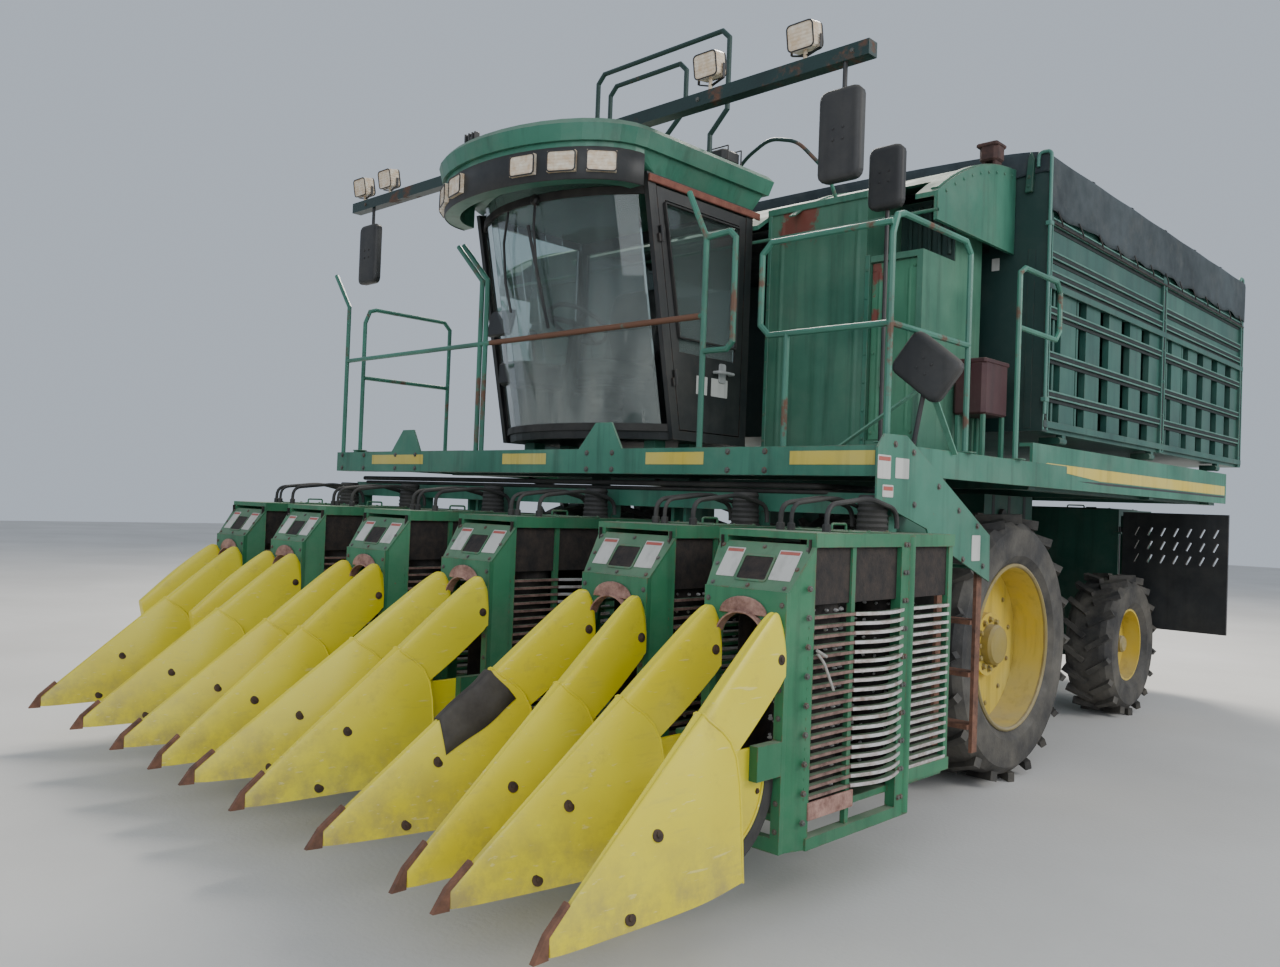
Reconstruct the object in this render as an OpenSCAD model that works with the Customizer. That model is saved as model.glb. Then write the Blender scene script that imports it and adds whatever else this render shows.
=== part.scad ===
// Six-row cotton picker. +Z up, -Y to the front, +X to the machine's left.
// Heights start at the floor. Lengths are counted from a datum between the row units
// and the front axle, and the whole model is then centred by centre_y.

/* [Row units] */
// Width of a row unit's body
unit_w = 520; // [480:1:560]
// Width of its narrower front face
unit_front_w = 435; // [400:1:470]
// Front face of the row units, along Y
unit_front_y = -2410; // [-2500:1:-2350]
// Length of a row unit
unit_len = 1360; // [1300:1:1400]
// Underside of the lower frame when parked
unit_z0 = 330; // [300:1:420]
// Top of the unit's cover
unit_z1 = 1640; // [1620:1:1690]
// Lower edge of the sloping top plate
plate_z0 = 1395; // [1350:1:1430]
// Number of grid bars in one stack
grid_bars = 19; // [12:1:20]
// Spacing of the grid bars
grid_pitch = 41.5; // [36:0.5:44]
// Thickness of a grid bar
grid_t = 12; // [8:1:16]
// How far the grid bars bow out beside the front drum
grid_bow = 45; // [0:1:60]
// Radius of a picking drum
drum_r = 140; // [110:1:150]

/* [Stalk lifters] */
// Reach of the tips in front of the row units' faces
lifter_reach = 1290; // [1280:1:1400]
// Distance between the two lifters of a row, where they are bolted on
lifter_gauge = 336; // [330:1:370]
// Radius of the curved shoe behind a lifter's point
shoe_r = 268; // [200:1:280]

/* [Wheels] */
// Radius of a front tyre
front_r = 880; // [800:1:920]
// Width of a front tyre
front_w = 520; // [440:1:560]
// Radius of a rear tyre
rear_r = 630; // [560:1:660]
// Width of a rear tyre
rear_w = 400; // [320:1:420]
// Height of the tread bars
lug_h = 42; // [30:1:50]
// Distance between the axles
wheelbase = 3150; // [3050:1:3200]

/* [Cab] */
// Width of the cab
cab_w = 1700; // [1500:1:1750]
// Centre of the cab, left of the machine's centre
cab_x = -150; // [-200:1:-100]
// Floor of the cab
cab_z0 = 2150; // [2120:1:2160]
// Underside of the cab's roof
cab_z1 = 3780; // [3600:1:3820]
// Thickness of the windows
glass_t = 8; // [5:1:12]
// Thickness of the cab's door and walls
wall_t = 36; // [30:1:45]
// Gap all round the door
door_gap = 7; // [5:1:9]

/* [Platform and body] */
// Half length of the front beam
beam_half = 2500; // [2450:1:2560]
// Top of the platform's deck
deck_z = 2060; // [2040:1:2070]
// Height of the guard rails above the deck
rail_h = 1190; // [1000:1:1250]
// Outside diameter of a rail tube
rail_d = 34; // [26:1:42]

/* [Basket] */
// Half width of the basket
basket_half = 2300; // [2200:1:2330]
// Front wall of the basket, along Y
basket_y0 = 830; // [825:1:840]
// Length of the basket
basket_len = 4800; // [4600:1:4850]
// Underside of the basket
basket_z0 = 2310; // [2300:1:2330]
// Height of the basket's side walls
basket_h = 1790; // [1700:1:1850]
// Thickness of the basket's walls
basket_t = 45; // [35:1:60]

/* [Engine end] */
// Front of the engine housing, along Y
engine_y0 = 4820; // [4800:1:4850]
// Rear end of the machine, along Y
rear_y = 5780; // [5760:1:5800]
// Half width of the engine housing
engine_half = 1440; // [1400:1:1460]

/* [Hidden] */

green = "#2f7d5c";
dark_green = "#1d4a3a";
yellow = "#e2c83a";
rust = "#7a5240";
black = "#24262a";
steel = "#9aa0a0";
glass = "#9fb6bb";
amber = "#d8c7a8";

front_y = unit_front_y - lifter_reach;
centre_y = -(front_y + rear_y) / 2;
front_axle_y = 800;
rear_axle_y = front_axle_y + wheelbase;
unit_rear_y = unit_front_y + unit_len;
UNIT_X = [2400, 1620, 460, -550, -1550, -2400];
// Columns: unit index, side (1 left, -1 right), where the tip stands left of the unit's centre, and whether
// the front point is still there
LIFTERS = [[0, 1, 200, true], [0, -1, -330, true], [1, 1, 180, true], [1, -1, -430, true],
    [2, 1, 30, true], [2, -1, -510, true], [3, 1, 100, true], [3, -1, -420, true],
    [4, 1, -60, true], [4, -1, -430, false], [5, 1, 10, true], [5, -1, -430, false]];
function col(row, name) = row[search([name], ["unit", "side", "tip", "whole"])[0]];

module box(lo, hi) {
    translate(lo) cube(hi - lo);
}

module rod(a, b, d, sides = 10) {
    v = b - a;
    translate(a)
        rotate([0, acos(v[2] / norm(v)), atan2(v[1], v[0])])
            cylinder(d = d, h = norm(v), $fn = sides);
}

// Corners of a straight bar between two points of one plane
function bar(a, b, h) = let (v = (b - a) / norm(b - a), n = [-v[1], v[0]] * h / 2)
    [a - n, b - n, b + n, a + n];

// A plate lying in the YZ plane, from x0 to x1
module side_plate(points, x0, x1) {
    translate([x0, 0, 0])
        rotate([90, 0, 90])
            linear_extrude(x1 - x0) polygon(points);
}

function unit(v) = v / norm(v);
// A bent tube through points in one plane whose normal is n
module bent_tube(pts, d, n, sides = 8) {
    last = len(pts) - 1;
    rings = [for (i = [0:last])
        let (before = unit(cross(pts[min(i + 1, last)] - pts[min(i, last - 1)], n)),
            after = unit(cross(pts[max(i, 1)] - pts[max(i - 1, 0)], n)),
            m = unit(before + after),
            mitre = 1 / max(0.5, m * before))
        [for (k = [0:sides - 1])
            pts[i] + d / 2 * (cos(360 * k / sides) * n + sin(360 * k / sides) * mitre * m)]];
    skin(rings);
}

// A closed body over rings of points, each ring turning right-handed about the way ahead
module skin(rings) {
    n = len(rings[0]);
    last = len(rings) - 1;
    polyhedron(
        points = [for (ring = rings) for (p = ring) p],
        faces = concat(
            [[for (k = [0:n - 1]) k]],
            [for (i = [0:last - 1]) for (k = [0:n - 1])
                let (a = i * n + k, b = i * n + (k + 1) % n)
                [a, a + n, b + n, b]],
            [[for (k = [n - 1:-1:0]) last * n + k]]));
}

// Outline of a plate with rounded corners, centred
function rounded(w, h, r) =
    [for (q = [[1, 1, 0], [-1, 1, 90], [-1, -1, 180], [1, -1, 270]]) for (a = [0:30:90])
    [q[0] * (w / 2 - r) + r * cos(q[2] + a), q[1] * (h / 2 - r) + r * sin(q[2] + a)]];

// Gap between two pieces that are bolted together
seat = 0.3;

// Chassis
rail_x = 480;
frame_z0 = 1020;
frame_z1 = 1240;
outrigger_z0 = 1920;
outrigger_z1 = 2000;
side_rail_x = 2150;
OUTRIGGER_Y = [-520, 710, 3050, 4700];
CROSS_Y = [-880, -100, 1900, 3300, 4600];
pin_r = 20;
// Header lift: pin of the arms on the frame, and their ends, in the YZ plane
arm_pivot = [-640, 1130];
arm_end = [-1180, 1330];
arm_x = 1000;
arm_pin_r = 40;
// Basket: hinge along its lower left edge, cylinder foot and rod eye, in the XZ plane
hinge = [2262, 2268];
foot = [-300, 1130];
eye = [1000, 2215];
CYL_Y = [1500, 4150];
HINGE_Y = [for (share = [0.07, 0.45, 0.84]) basket_y0 + share * basket_len];
side_rail_y1 = HINGE_Y[2] + 300;

module main_frame() {
    color(green) {
        for (s = [-1, 1])
            box([s * rail_x - 60, -900, frame_z0], [s * rail_x + 60, rear_y - 60, frame_z1]);
        for (y = CROSS_Y)
            box([-rail_x - 60, y, frame_z0 + 20], [rail_x + 60, y + 120, frame_z1 - 20]);
        for (y = OUTRIGGER_Y) {
            for (s = [-1, 1])
                box([s * rail_x - 50, y, frame_z1 - 20], [s * rail_x + 50, y + 100, outrigger_z1]);
            box([-2275, y, outrigger_z0], [2275, y + 100, outrigger_z1]);
        }
        for (s = [-1, 1])
            box([s * side_rail_x - 50, 710, outrigger_z0],
                [s * side_rail_x + 50, side_rail_y1, outrigger_z1]);
        // rests of the basket
        for (y = [710, 3050, 4700]) for (x = [-1500, 1600])
            box([x - 50, y + 10, outrigger_z1 - 5], [x + 50, y + 90, basket_z0 - seat]);
        // pins of the lift arms
        for (s = [-1, 1])
            translate([s * 540, arm_pivot[0], arm_pivot[1]])
                rotate([0, s * 90, 0]) cylinder(r = arm_pin_r, h = arm_x - 500, $fn = 48);
        // feet of the basket cylinders
        for (y = CYL_Y) {
            box([-rail_x - 10, y - 70, frame_z0 + 5], [rail_x + 10, y + 70, frame_z0 + 50]);
            for (s = [-1, 1])
                box([foot[0] - 60, y + s * 53 - 7, frame_z0 + 40],
                    [foot[0] + 60, y + s * 53 + 7, foot[1] + 50]);
            translate([foot[0], y + 60, foot[1]]) rotate([90, 0, 0]) cylinder(r = pin_r, h = 120, $fn = 48);
        }
        // lugs and pins of the basket's hinge
        for (y = HINGE_Y) {
            box([side_rail_x - 10, y, outrigger_z1 - 5], [side_rail_x + 48, y + 60, hinge[1] + 25]);
            difference() {
                box([side_rail_x + 40, y, hinge[1] - 25], [hinge[0], y + 60, hinge[1] + 25]);
                translate([hinge[0], y - 1, hinge[1]]) rotate([-90, 0, 0])
                    cylinder(r = 24, h = 62, $fn = 48);
            }
            translate([hinge[0], y, hinge[1]]) rotate([-90, 0, 0]) cylinder(r = 26, h = 60, $fn = 48);
            translate([hinge[0], y, hinge[1]]) rotate([-90, 0, 0]) cylinder(r = 12, h = 130, $fn = 48);
        }
    }
}

// Ends of the drive axle's tube, and its spindles
hub_x = 633;
spindle_r = 60;
module front_axle() {
    color(dark_green) {
        translate([-hub_x, front_axle_y, front_r]) rotate([0, 90, 0])
            cylinder(r = 135, h = 2 * hub_x, $fn = 48);
        translate([-hub_x - 140, front_axle_y, front_r]) rotate([0, 90, 0])
            cylinder(r = spindle_r, h = 2 * hub_x + 280, $fn = 48);
        for (s = [-1, 1]) {
            translate([s * (hub_x - 40) - 35, front_axle_y, front_r]) rotate([0, 90, 0])
                cylinder(r = 250, h = 70, $fn = 48);
            box([s * rail_x - 90, front_axle_y - 140, front_r + 60],
                [s * rail_x + 90, front_axle_y + 140, frame_z0]);
        }
        box([-300, front_axle_y - 230, front_r - 210], [300, front_axle_y + 230, front_r + 130]);
    }
}

hub_z = rear_r;
king_x = 1330;
king_r = 25;
module rear_axle() {
    color(dark_green) {
        box([-king_x + 90, rear_axle_y - 80, hub_z + 110], [king_x - 90, rear_axle_y + 80, hub_z + 270]);
        for (s = [-1, 1]) {
            box([s * rail_x - 60, rear_axle_y - 110, hub_z + 240],
                [s * rail_x + 60, rear_axle_y + 110, frame_z0]);
            box([s * (king_x - 120) - 30, rear_axle_y - 80, hub_z - 150],
                [s * (king_x - 120) + 30, rear_axle_y + 80, hub_z + 270]);
            for (z = [hub_z - 150, hub_z + 110])
                difference() {
                    union() {
                        box([s * (king_x - 70) - 70, rear_axle_y - 80, z],
                            [s * (king_x - 70) + 70, rear_axle_y + 80, z + 40]);
                        translate([s * king_x, rear_axle_y, z]) cylinder(r = 80, h = 40, $fn = 48);
                    }
                    translate([s * king_x, rear_axle_y, z - 1])
                        cylinder(r = king_r + 0.05, h = 42, $fn = 48);
                }
        }
    }
}

module knuckle(s) {
    color(green)
        translate([s * king_x, rear_axle_y, hub_z]) {
            translate([0, 0, -109.5]) cylinder(r = 55, h = 219, $fn = 48);
            translate([0, 0, -152]) cylinder(r = king_r, h = 304, $fn = 48);
            rotate([0, s * 90, 0]) cylinder(r = 42, h = 330, $fn = 48);
            rotate([0, s * 90, 0]) cylinder(r = 90, h = 120, $fn = 48);
        }
}

module engine_block() {
    color(black)
        box([-560, engine_y0 + 90, frame_z1], [560, rear_y - 120, 1720]);
}

hitch_z = 560;
hitch_pin_r = 16.5;
engine_z0 = 720;
engine_z1 = 1850;
sheet = 25;
module engine_housing() {
    h = engine_half;
    color(dark_green)
        difference() {
            box([-h, engine_y0, engine_z0], [h, rear_y, engine_z1]);
            box([-h + sheet, engine_y0 + sheet, engine_z0 + sheet],
                [h - sheet, rear_y - sheet, engine_z1 - sheet]);
            box([h - sheet - 5, engine_y0 + 60, engine_z0 + 60], [h + 5, rear_y - 60, engine_z1 - 60]);
            for (s = [-1, 1])
                box([s * rail_x - 60, engine_y0 - 5, frame_z0],
                    [s * rail_x + 60, engine_y0 + sheet + 5, frame_z1]);
        }
    color(dark_green) engine_door_lugs();
    // tow hitch under the rear end: two plates on a hanger, drilled for the pin
    color(dark_green)
        difference() {
            union() {
                box([-90, rear_y - 330, hitch_z - 10], [90, rear_y - 290, engine_z0 + 5]);
                for (z = [hitch_z - 10, hitch_z + 70])
                    box([-70, rear_y - 300, z], [70, rear_y - 20, z + 20]);
                for (x = [-90, 75])
                    box([x, rear_y - 300, hitch_z + 80], [x + 15, rear_y - 120, engine_z0 + 5]);
            }
            translate([0, rear_y - 80, hitch_z - 11]) cylinder(r = hitch_pin_r, h = 102, $fn = 48);
        }
}

// Axis of the engine door's hinge
door_hinge = [engine_half + 25, engine_y0 - 25];
DOOR_LUG_Z = [engine_z0 + 120, engine_z1 - 240];
module engine_door_lugs() {
    for (z = DOOR_LUG_Z) {
        box([engine_half - 40, door_hinge[1] - 10, z], [door_hinge[0] + 10, engine_y0, z + 20]);
        translate([door_hinge[0], door_hinge[1], z]) cylinder(r = 7, h = 80, $fn = 48);
    }
}

module engine_door() {
    color(black)
        translate([door_hinge[0], door_hinge[1], 0]) {
            difference() {
                box([30, -17, engine_z0], [rear_y - engine_y0, 17, engine_z1 - 20]);
                for (row = [0:2]) for (i = [0:6])
                    translate([140 + i * 115, -30, engine_z1 - 240 - row * 130])
                        rotate([0, 25, 0]) cube([18, 60, 90]);
            }
            for (z = DOOR_LUG_Z)
                difference() {
                    union() {
                        translate([0, 0, z + 20.3]) cylinder(r = 13, h = 50, $fn = 48);
                        box([0, -8, z + 20.3], [34, 8, z + 70.3]);
                    }
                    translate([0, 0, z]) cylinder(r = 7.05, h = 100, $fn = 48);
                }
        }
}

module tanks() {
    color(dark_green) {
        for (s = [-1, 1])
            box([s * 945 - 305, 2250, 1300], [s * 945 + 305, 3200, outrigger_z0 - seat]);
    }
}

// Platform and rails
curb = 20;
module platform() {
    color(green) {
        box([-beam_half, -1500, deck_z - 150], [beam_half, -1380, deck_z]);
        box([-beam_half + 60, -1385, deck_z - 30], [beam_half - 60, -520, deck_z]);
        for (s = [-1, 1]) {
            box([s * 1850 - 570, -525, deck_z - 30], [s * 1850 + 570, 700, deck_z]);
            box([s * (beam_half - 75) - 20, -1385, deck_z - 130],
                [s * (beam_half - 75) + 20, 900, deck_z + curb]);
        }
        for (y = [-1200, -700])
            box([-2300, y, deck_z - 110], [2300, y + 60, deck_z - 25]);
        // bearers on the first outrigger, and the cab's feet
        for (x = [-2000, -800, 800, 2000])
            box([x - 60, OUTRIGGER_Y[0], outrigger_z1 + seat], [x + 60, OUTRIGGER_Y[0] + 100, deck_z - 5]);
        box([-1300, -525, deck_z - 30], [1300, OUTRIGGER_Y[0] + 100, deck_z]);
        for (x = [cab_x - 600, cab_x + 600]) for (y = [-900, -560])
            box([x - 50, y - 50, deck_z - 5], [x + 50, y + 50, cab_z0 - seat]);
        for (x = [550, -1530])
            translate([x, -1500, deck_z - 5])
                rotate([90, 0, 0]) mirror([0, 0, 1])
                    linear_extrude(14) polygon([[-190, 0], [190, 0], [95, 165], [-40, 165]]);
    }
}

// Outline of the stringer plates in the YZ plane
STRINGER = [[-1560, 2050], [-1500, 2115], [-1290, 2120], [-340, 1630], [-330, 1370],
    [-1030, 1610], [-1060, 1660], [-1560, 1790]];
steps_x0 = beam_half - 300;
steps_x1 = beam_half + seat;
step_pin = [-380, 1450];
step_foot = 420;
module boarding_steps() {
    color(green) {
        side_plate(STRINGER, steps_x1, steps_x1 + 10);
        intersection() {
            side_plate(STRINGER, steps_x0, steps_x0 + 10);
            box([steps_x0 - 1, -1020, 1300], [steps_x0 + 11, 0, deck_z - 150]);
        }
        for (i = [0:1])
            box([steps_x0 + 9, -960 + i * 290, 1720 - i * 140],
                [steps_x1 + 1, -720 + i * 290, 1745 - i * 140]);
        translate([steps_x0 + 5, step_pin[0], step_pin[1]])
            rotate([0, 90, 0]) cylinder(r = 12, h = steps_x1 - steps_x0, $fn = 48);
    }
}

module folding_steps() {
    color(rust)
        for (x = [steps_x0 + 30, steps_x1 - 35])
            difference() {
                union() {
                    box([x - 10, step_pin[0] - 30, step_foot], [x + 10, step_pin[0] + 30, step_pin[1]]);
                    translate([x - 10, step_pin[0], step_pin[1]]) rotate([0, 90, 0])
                        cylinder(r = 30, h = 20, $fn = 48);
                }
                translate([x - 11, step_pin[0], step_pin[1]]) rotate([0, 90, 0])
                    cylinder(r = 12.05, h = 22, $fn = 48);
            }
    color(black)
        for (i = [0:2])
            box([steps_x0 + 39, step_pin[0] - 60, 1130 - i * 290],
                [steps_x1 - 44, step_pin[0] + 60, 1155 - i * 290]);
}

top_z = deck_z + rail_h;
mid_z = deck_z + 620;
rail_y = -1482;
module guard_rails() {
    d = rail_d;
    x_end = beam_half - 75;
    foot_z = deck_z + curb;
    X = [1, 0, 0];
    Y = [0, 1, 0];
    color(green) {
        // front rail over the beam, with its bent posts
        for (row = [[1330, 140], [-640, 290], [-700, 290], [-2440, 220]])
            bent_tube([[row[0], rail_y, deck_z], [row[0], rail_y, top_z - 10],
                [row[0] - row[1], rail_y, top_z + 270]], d, Y);
        bent_tube([[-2440, rail_y, mid_z + 120], [1330, rail_y, mid_z + 120]], d, Y);
        // side panel of the front left corner
        bent_tube([[1340, rail_y, top_z - 10], [1500, rail_y, top_z], [1540, rail_y, top_z - 40],
            [1540, rail_y, mid_z - 40], [1500, rail_y, mid_z - 80], [1330, rail_y, mid_z - 80]], d, Y);
        for (s = [-1, 1]) {
            bent_tube([[s * x_end, -1340, foot_z], [s * x_end, -1340, top_z - 120],
                [s * x_end, -1300, top_z - 20],
                [s * x_end, -1240, top_z], [s * x_end, -560, top_z], [s * x_end, -500, top_z - 60],
                [s * x_end, -500, foot_z]], d, X);
            bent_tube([[s * x_end, -1340, mid_z], [s * x_end, -500, mid_z]], d, X);
        }
        bent_tube([[x_end, -1340, top_z - 60], [1680, -1340, top_z - 60], [1620, -1340, top_z - 120],
            [1620, -1340, mid_z + 60], [1680, -1340, mid_z], [x_end, -1340, mid_z]], d, Y);
        bent_tube([[1800, -1340, deck_z], [1800, -1340, mid_z]], d, Y);
        // loop behind the left platform
        bent_tube([[x_end, 150, foot_z], [x_end, 150, top_z - 40], [x_end, 220, top_z],
            [x_end, 700, top_z], [x_end, 760, top_z - 60], [x_end, 760, mid_z + 260],
            [x_end, 700, mid_z + 200], [x_end, 150, mid_z + 200]], d, X);
        // hoops on the roof
        bent_tube([[-430, -700, roof_top + seat], [-430, -700, 4800], [-370, -700, 4860], [740, -700, 4860],
            [800, -700, 4800], [800, -700, 4330], [660, -700, 4190], [660, -700, roof_top + seat]], d, Y);
        bent_tube([[-370, -630, roof_top + seat], [-370, -630, 4720], [-310, -630, 4780], [310, -630, 4780],
            [370, -630, 4720], [370, -630, 4450], [130, -630, 4240], [130, -630, roof_top + seat]], d, Y);
    }
}

// Cab. Its plan is a box with a bowed front, and its front leans forward
lean = 330;
cab_rear = -260;
cab_side = -930;
bow = 330;
function bow_arc(half, depth, n) = let (r = (half * half + depth * depth) / (2 * depth), a = asin(half / r))
    [for (i = [0:n]) let (t = -a + 2 * a * i / n) [r * sin(t), -(r * cos(t) - r + depth)]];
function cab_plan(inset, forward) = concat(
    [[cab_w / 2 - inset, cab_rear - inset], [-cab_w / 2 + inset, cab_rear - inset]],
    [for (p = bow_arc(cab_w / 2 - inset, bow, 14)) [p[0], p[1] + cab_side - forward + inset]]);

module cab_solid(inset, z0, z1) {
    h = cab_z1 - cab_z0;
    hull() {
        translate([cab_x, 0, z0])
            linear_extrude(0.5) polygon(cab_plan(inset, lean * (z0 - cab_z0) / h));
        translate([cab_x, 0, z1 - 0.5])
            linear_extrude(0.5) polygon(cab_plan(inset, lean * (z1 - cab_z0) / h));
    }
}

// The region in front of the cab's two front pillars
module front_region(gap) {
    side_plate([[cab_side - gap, cab_z0], [cab_side - 2000, cab_z0], [cab_side - 2000, cab_z1 + 1],
        [cab_side - lean - gap, cab_z1]], cab_x - 2000, cab_x + 2000);
}

module windscreen() {
    color(glass, 0.4)
        intersection() {
            difference() {
                cab_solid(2, cab_z0 + 60 + seat, cab_z1);
                cab_solid(2 + glass_t, cab_z0 + 60, cab_z1 + 1);
            }
            front_region(70 + seat);
        }
}

// Hinges of the cab's door: an axis along the leaning pillar, and the heights of the two hinges on it
door_axis = [cab_x + cab_w / 2 + 14, cab_side + 2.5];
DOOR_HINGE_Z = [350, 1250];
module on_door_axis() {
    translate([door_axis[0], door_axis[1], cab_z0])
        rotate([atan2(lean, cab_z1 - cab_z0), 0, 0])
            for (z = DOOR_HINGE_Z) translate([0, 0, z]) children();
}

module pillar(x, y, lean_y, w) {
    hull()
        for (e = [0, 1])
            translate([x - w / 2, y - lean_y * e, e == 0 ? cab_z0 : cab_z1 - 2]) cube([w, 70, 2]);
}

module cab_frame() {
    w2 = cab_w / 2;
    color(black) {
        // fixed halves of the door's hinges
        on_door_axis() {
            cylinder(r = 12, h = 50, $fn = 48);
            cylinder(r = 7, h = 100, $fn = 48);
            box([-18, -30, 0], [0, -3, 50]);
        }
        // floor
        cab_solid(0, cab_z0, cab_z0 + 60);
        // pillars
        for (s = [-1, 1]) {
            pillar(cab_x + s * (w2 - wall_t / 2), cab_side - 70, lean, wall_t);
            box([cab_x + s * (w2 - wall_t / 2) - wall_t / 2, cab_rear - 70, cab_z0],
                [cab_x + s * (w2 - wall_t / 2) + wall_t / 2, cab_rear, cab_z1]);
        }
        // rear wall with its window
        difference() {
            box([cab_x - w2, cab_rear - wall_t, cab_z0], [cab_x + w2, cab_rear, cab_z1]);
            box([cab_x - w2 + 90, cab_rear - wall_t - 1, cab_z0 + 700],
                [cab_x + w2 - 90, cab_rear + 1, cab_z1 - 90]);
        }
        // lower right wall
        box([cab_x - w2, cab_side - 20, cab_z0], [cab_x - w2 + wall_t, cab_rear, cab_z0 + 620]);
        // frames above the side windows
        for (s = [-1, 1])
            box([cab_x + s * (w2 - wall_t / 2) - wall_t / 2, cab_side - lean, cab_z1 - 50],
                [cab_x + s * (w2 - wall_t / 2) + wall_t / 2, cab_rear, cab_z1]);
    }
}

module cab_glass() {
    w2 = cab_w / 2;
    color(glass, 0.4) {
        box([cab_x - w2 + 90.5, cab_rear - 22, cab_z0 + 700.5],
            [cab_x + w2 - 90.5, cab_rear - 22 + glass_t, cab_z1 - 90.5]);
        side_plate([[cab_side + 3 - lean * 622 / (cab_z1 - cab_z0), cab_z0 + 620.5],
            [cab_rear - 71, cab_z0 + 620.5], [cab_rear - 71, cab_z1 - 50.5],
                [cab_side - lean + 18, cab_z1 - 50.5]],
            cab_x - w2 + 14, cab_x - w2 + 14 + glass_t);
    }
}

roof_top = cab_z1 + 256;
visor = 560;
// Plan of the roof: straight sides, and half an ellipse at the front
function roof_plan(inset) = let (a = cab_w / 2 + 90 - inset, front = cab_side - lean - 140)
    concat([[a, cab_rear + 110 - inset], [-a, cab_rear + 110 - inset]],
        [for (t = [-90:10:90]) [a * sin(t), front - (visor - inset) * cos(t)]]);
// Heights of the roof's sections over the cab, and their insets
ROOF = [[110, 25], [205, 0], [240, 30], [255, 110]];
// Visor band under the roof's front edge, and the angles of the lamps set in it
band_in = 50;
band_t = 110;
band_z0 = cab_z1 - 115;
BAND_LAMPS = [-61, -41, -22, 22, 41, 61];
module visor_band() {
    front = cab_side - lean - 140;
    a = cab_w / 2 + 90 - band_in;
    b = visor - band_in;
    translate([cab_x, front, band_z0])
        difference() {
            linear_extrude(cab_z1 + 109 - band_z0)
                polygon(concat([for (t = [-90:7.5:90]) [a * sin(t), -b * cos(t)]],
                    [for (t = [90:-7.5:-90]) [(a - band_t) * sin(t), -(b - band_t) * cos(t)]]));
            for (t = BAND_LAMPS)
                band_lamp(t, 0.6);
        }
}
module band_lamp(t, gap) {
    a = cab_w / 2 + 90 - band_in;
    b = visor - band_in;
    translate([a * sin(t), -b * cos(t), 100]) rotate([0, 0, atan(b / a * tan(t))])
        box([-90 - gap, -30, -62 - gap], [90 + gap, 50 + gap, 62 + gap]);
}

module cab_roof() {
    color(green)
        hull()
            for (row = ROOF)
                translate([cab_x, 0, cab_z1 + row[0]]) linear_extrude(1) polygon(roof_plan(row[1]));
    color(black)
        hull() {
            translate([cab_x, 0, cab_z1 + seat]) linear_extrude(1) polygon(cab_plan(4, lean));
            translate([cab_x, 0, cab_z1 + 109.5]) linear_extrude(1) polygon(roof_plan(55));
        }
    color(black) visor_band();
}

module cab_seat() {
    color(black)
        translate([cab_x, -760, cab_z0 + 60]) {
            box([-120, -120, 0], [120, 120, 380]);
            box([-270, -270, 380], [270, 240, 500]);
            translate([0, 230, 490]) rotate([-10, 0, 0]) box([-250, -60, 0], [250, 60, 640]);
        }
}

module steering_column() {
    color(black) {
        translate([cab_x, -1170, cab_z0 + 60]) cylinder(d = 110, h = 40, $fn = 24);
        rod([cab_x, -1170, cab_z0 + 90], [cab_x, -1080, cab_z0 + 780], 90, 12);
        translate([cab_x, -1070, cab_z0 + 800])
            rotate([-30, 0, 0]) {
                rotate_extrude($fn = 36) translate([210, 0]) circle(r = 16, $fn = 8);
                for (a = [90, 210, 330])
                    rotate([0, 0, a]) translate([0, -18, -10]) cube([212, 36, 20]);
            }
    }
}

door_y0 = cab_side + 5;
module door_outline(inset) {
    slope = lean / (cab_z1 - cab_z0);
    z0 = cab_z0 + 60 + door_gap;
    z1 = cab_z1 - 62 - door_gap;
    polygon([[door_y0 - slope * (z0 + inset - cab_z0) + inset, z0 + inset],
        [cab_rear - 70 - door_gap - inset, z0 + inset],
        [cab_rear - 70 - door_gap - inset, z1 - inset],
        [door_y0 - slope * (z1 - inset - cab_z0) + inset, z1 - inset]]);
}

module cab_door() {
    color(black)
        difference() {
            on_door_axis() {
                translate([0, 0, 50.3]) cylinder(r = 12, h = 50, $fn = 48);
                box([-18, 3, 50.3], [0, 30, 100.3]);
            }
            on_door_axis() cylinder(r = 7.05, h = 120, $fn = 48);
        }
    color(black)
        translate([cab_x + cab_w / 2 - wall_t, 0, 0])
            rotate([90, 0, 90])
                difference() {
                    linear_extrude(wall_t) door_outline(0);
                    translate([0, 0, -1]) linear_extrude(wall_t + 2)
                        intersection() {
                            door_outline(70);
                            translate([-3000, cab_z0 + 560]) square([4000, 3000]);
                        }
                }
}

module door_glass() {
    color(glass, 0.4)
        translate([cab_x + cab_w / 2 - 22, 0, 0])
            rotate([90, 0, 90])
                linear_extrude(glass_t)
                    intersection() {
                        door_outline(70.4);
                        translate([-3000, cab_z0 + 560.4]) square([4000, 3000]);
                    }
}

// Light bar, lamps and mirrors
bar_x = -225;
bar_y = -1300;
bar_z = roof_top + 84;
bar_half = 2475;
module light_bar() {
    color(dark_green) {
        box([bar_x - bar_half, bar_y - 40, bar_z - 40], [bar_x + bar_half, bar_y + 40, bar_z + 40]);
        for (s = [-1, 1])
            box([cab_x + s * 450 - 30, bar_y - 60, roof_top + seat],
                [cab_x + s * 450 + 30, bar_y + 60, bar_z - 35]);
    }
}

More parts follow.
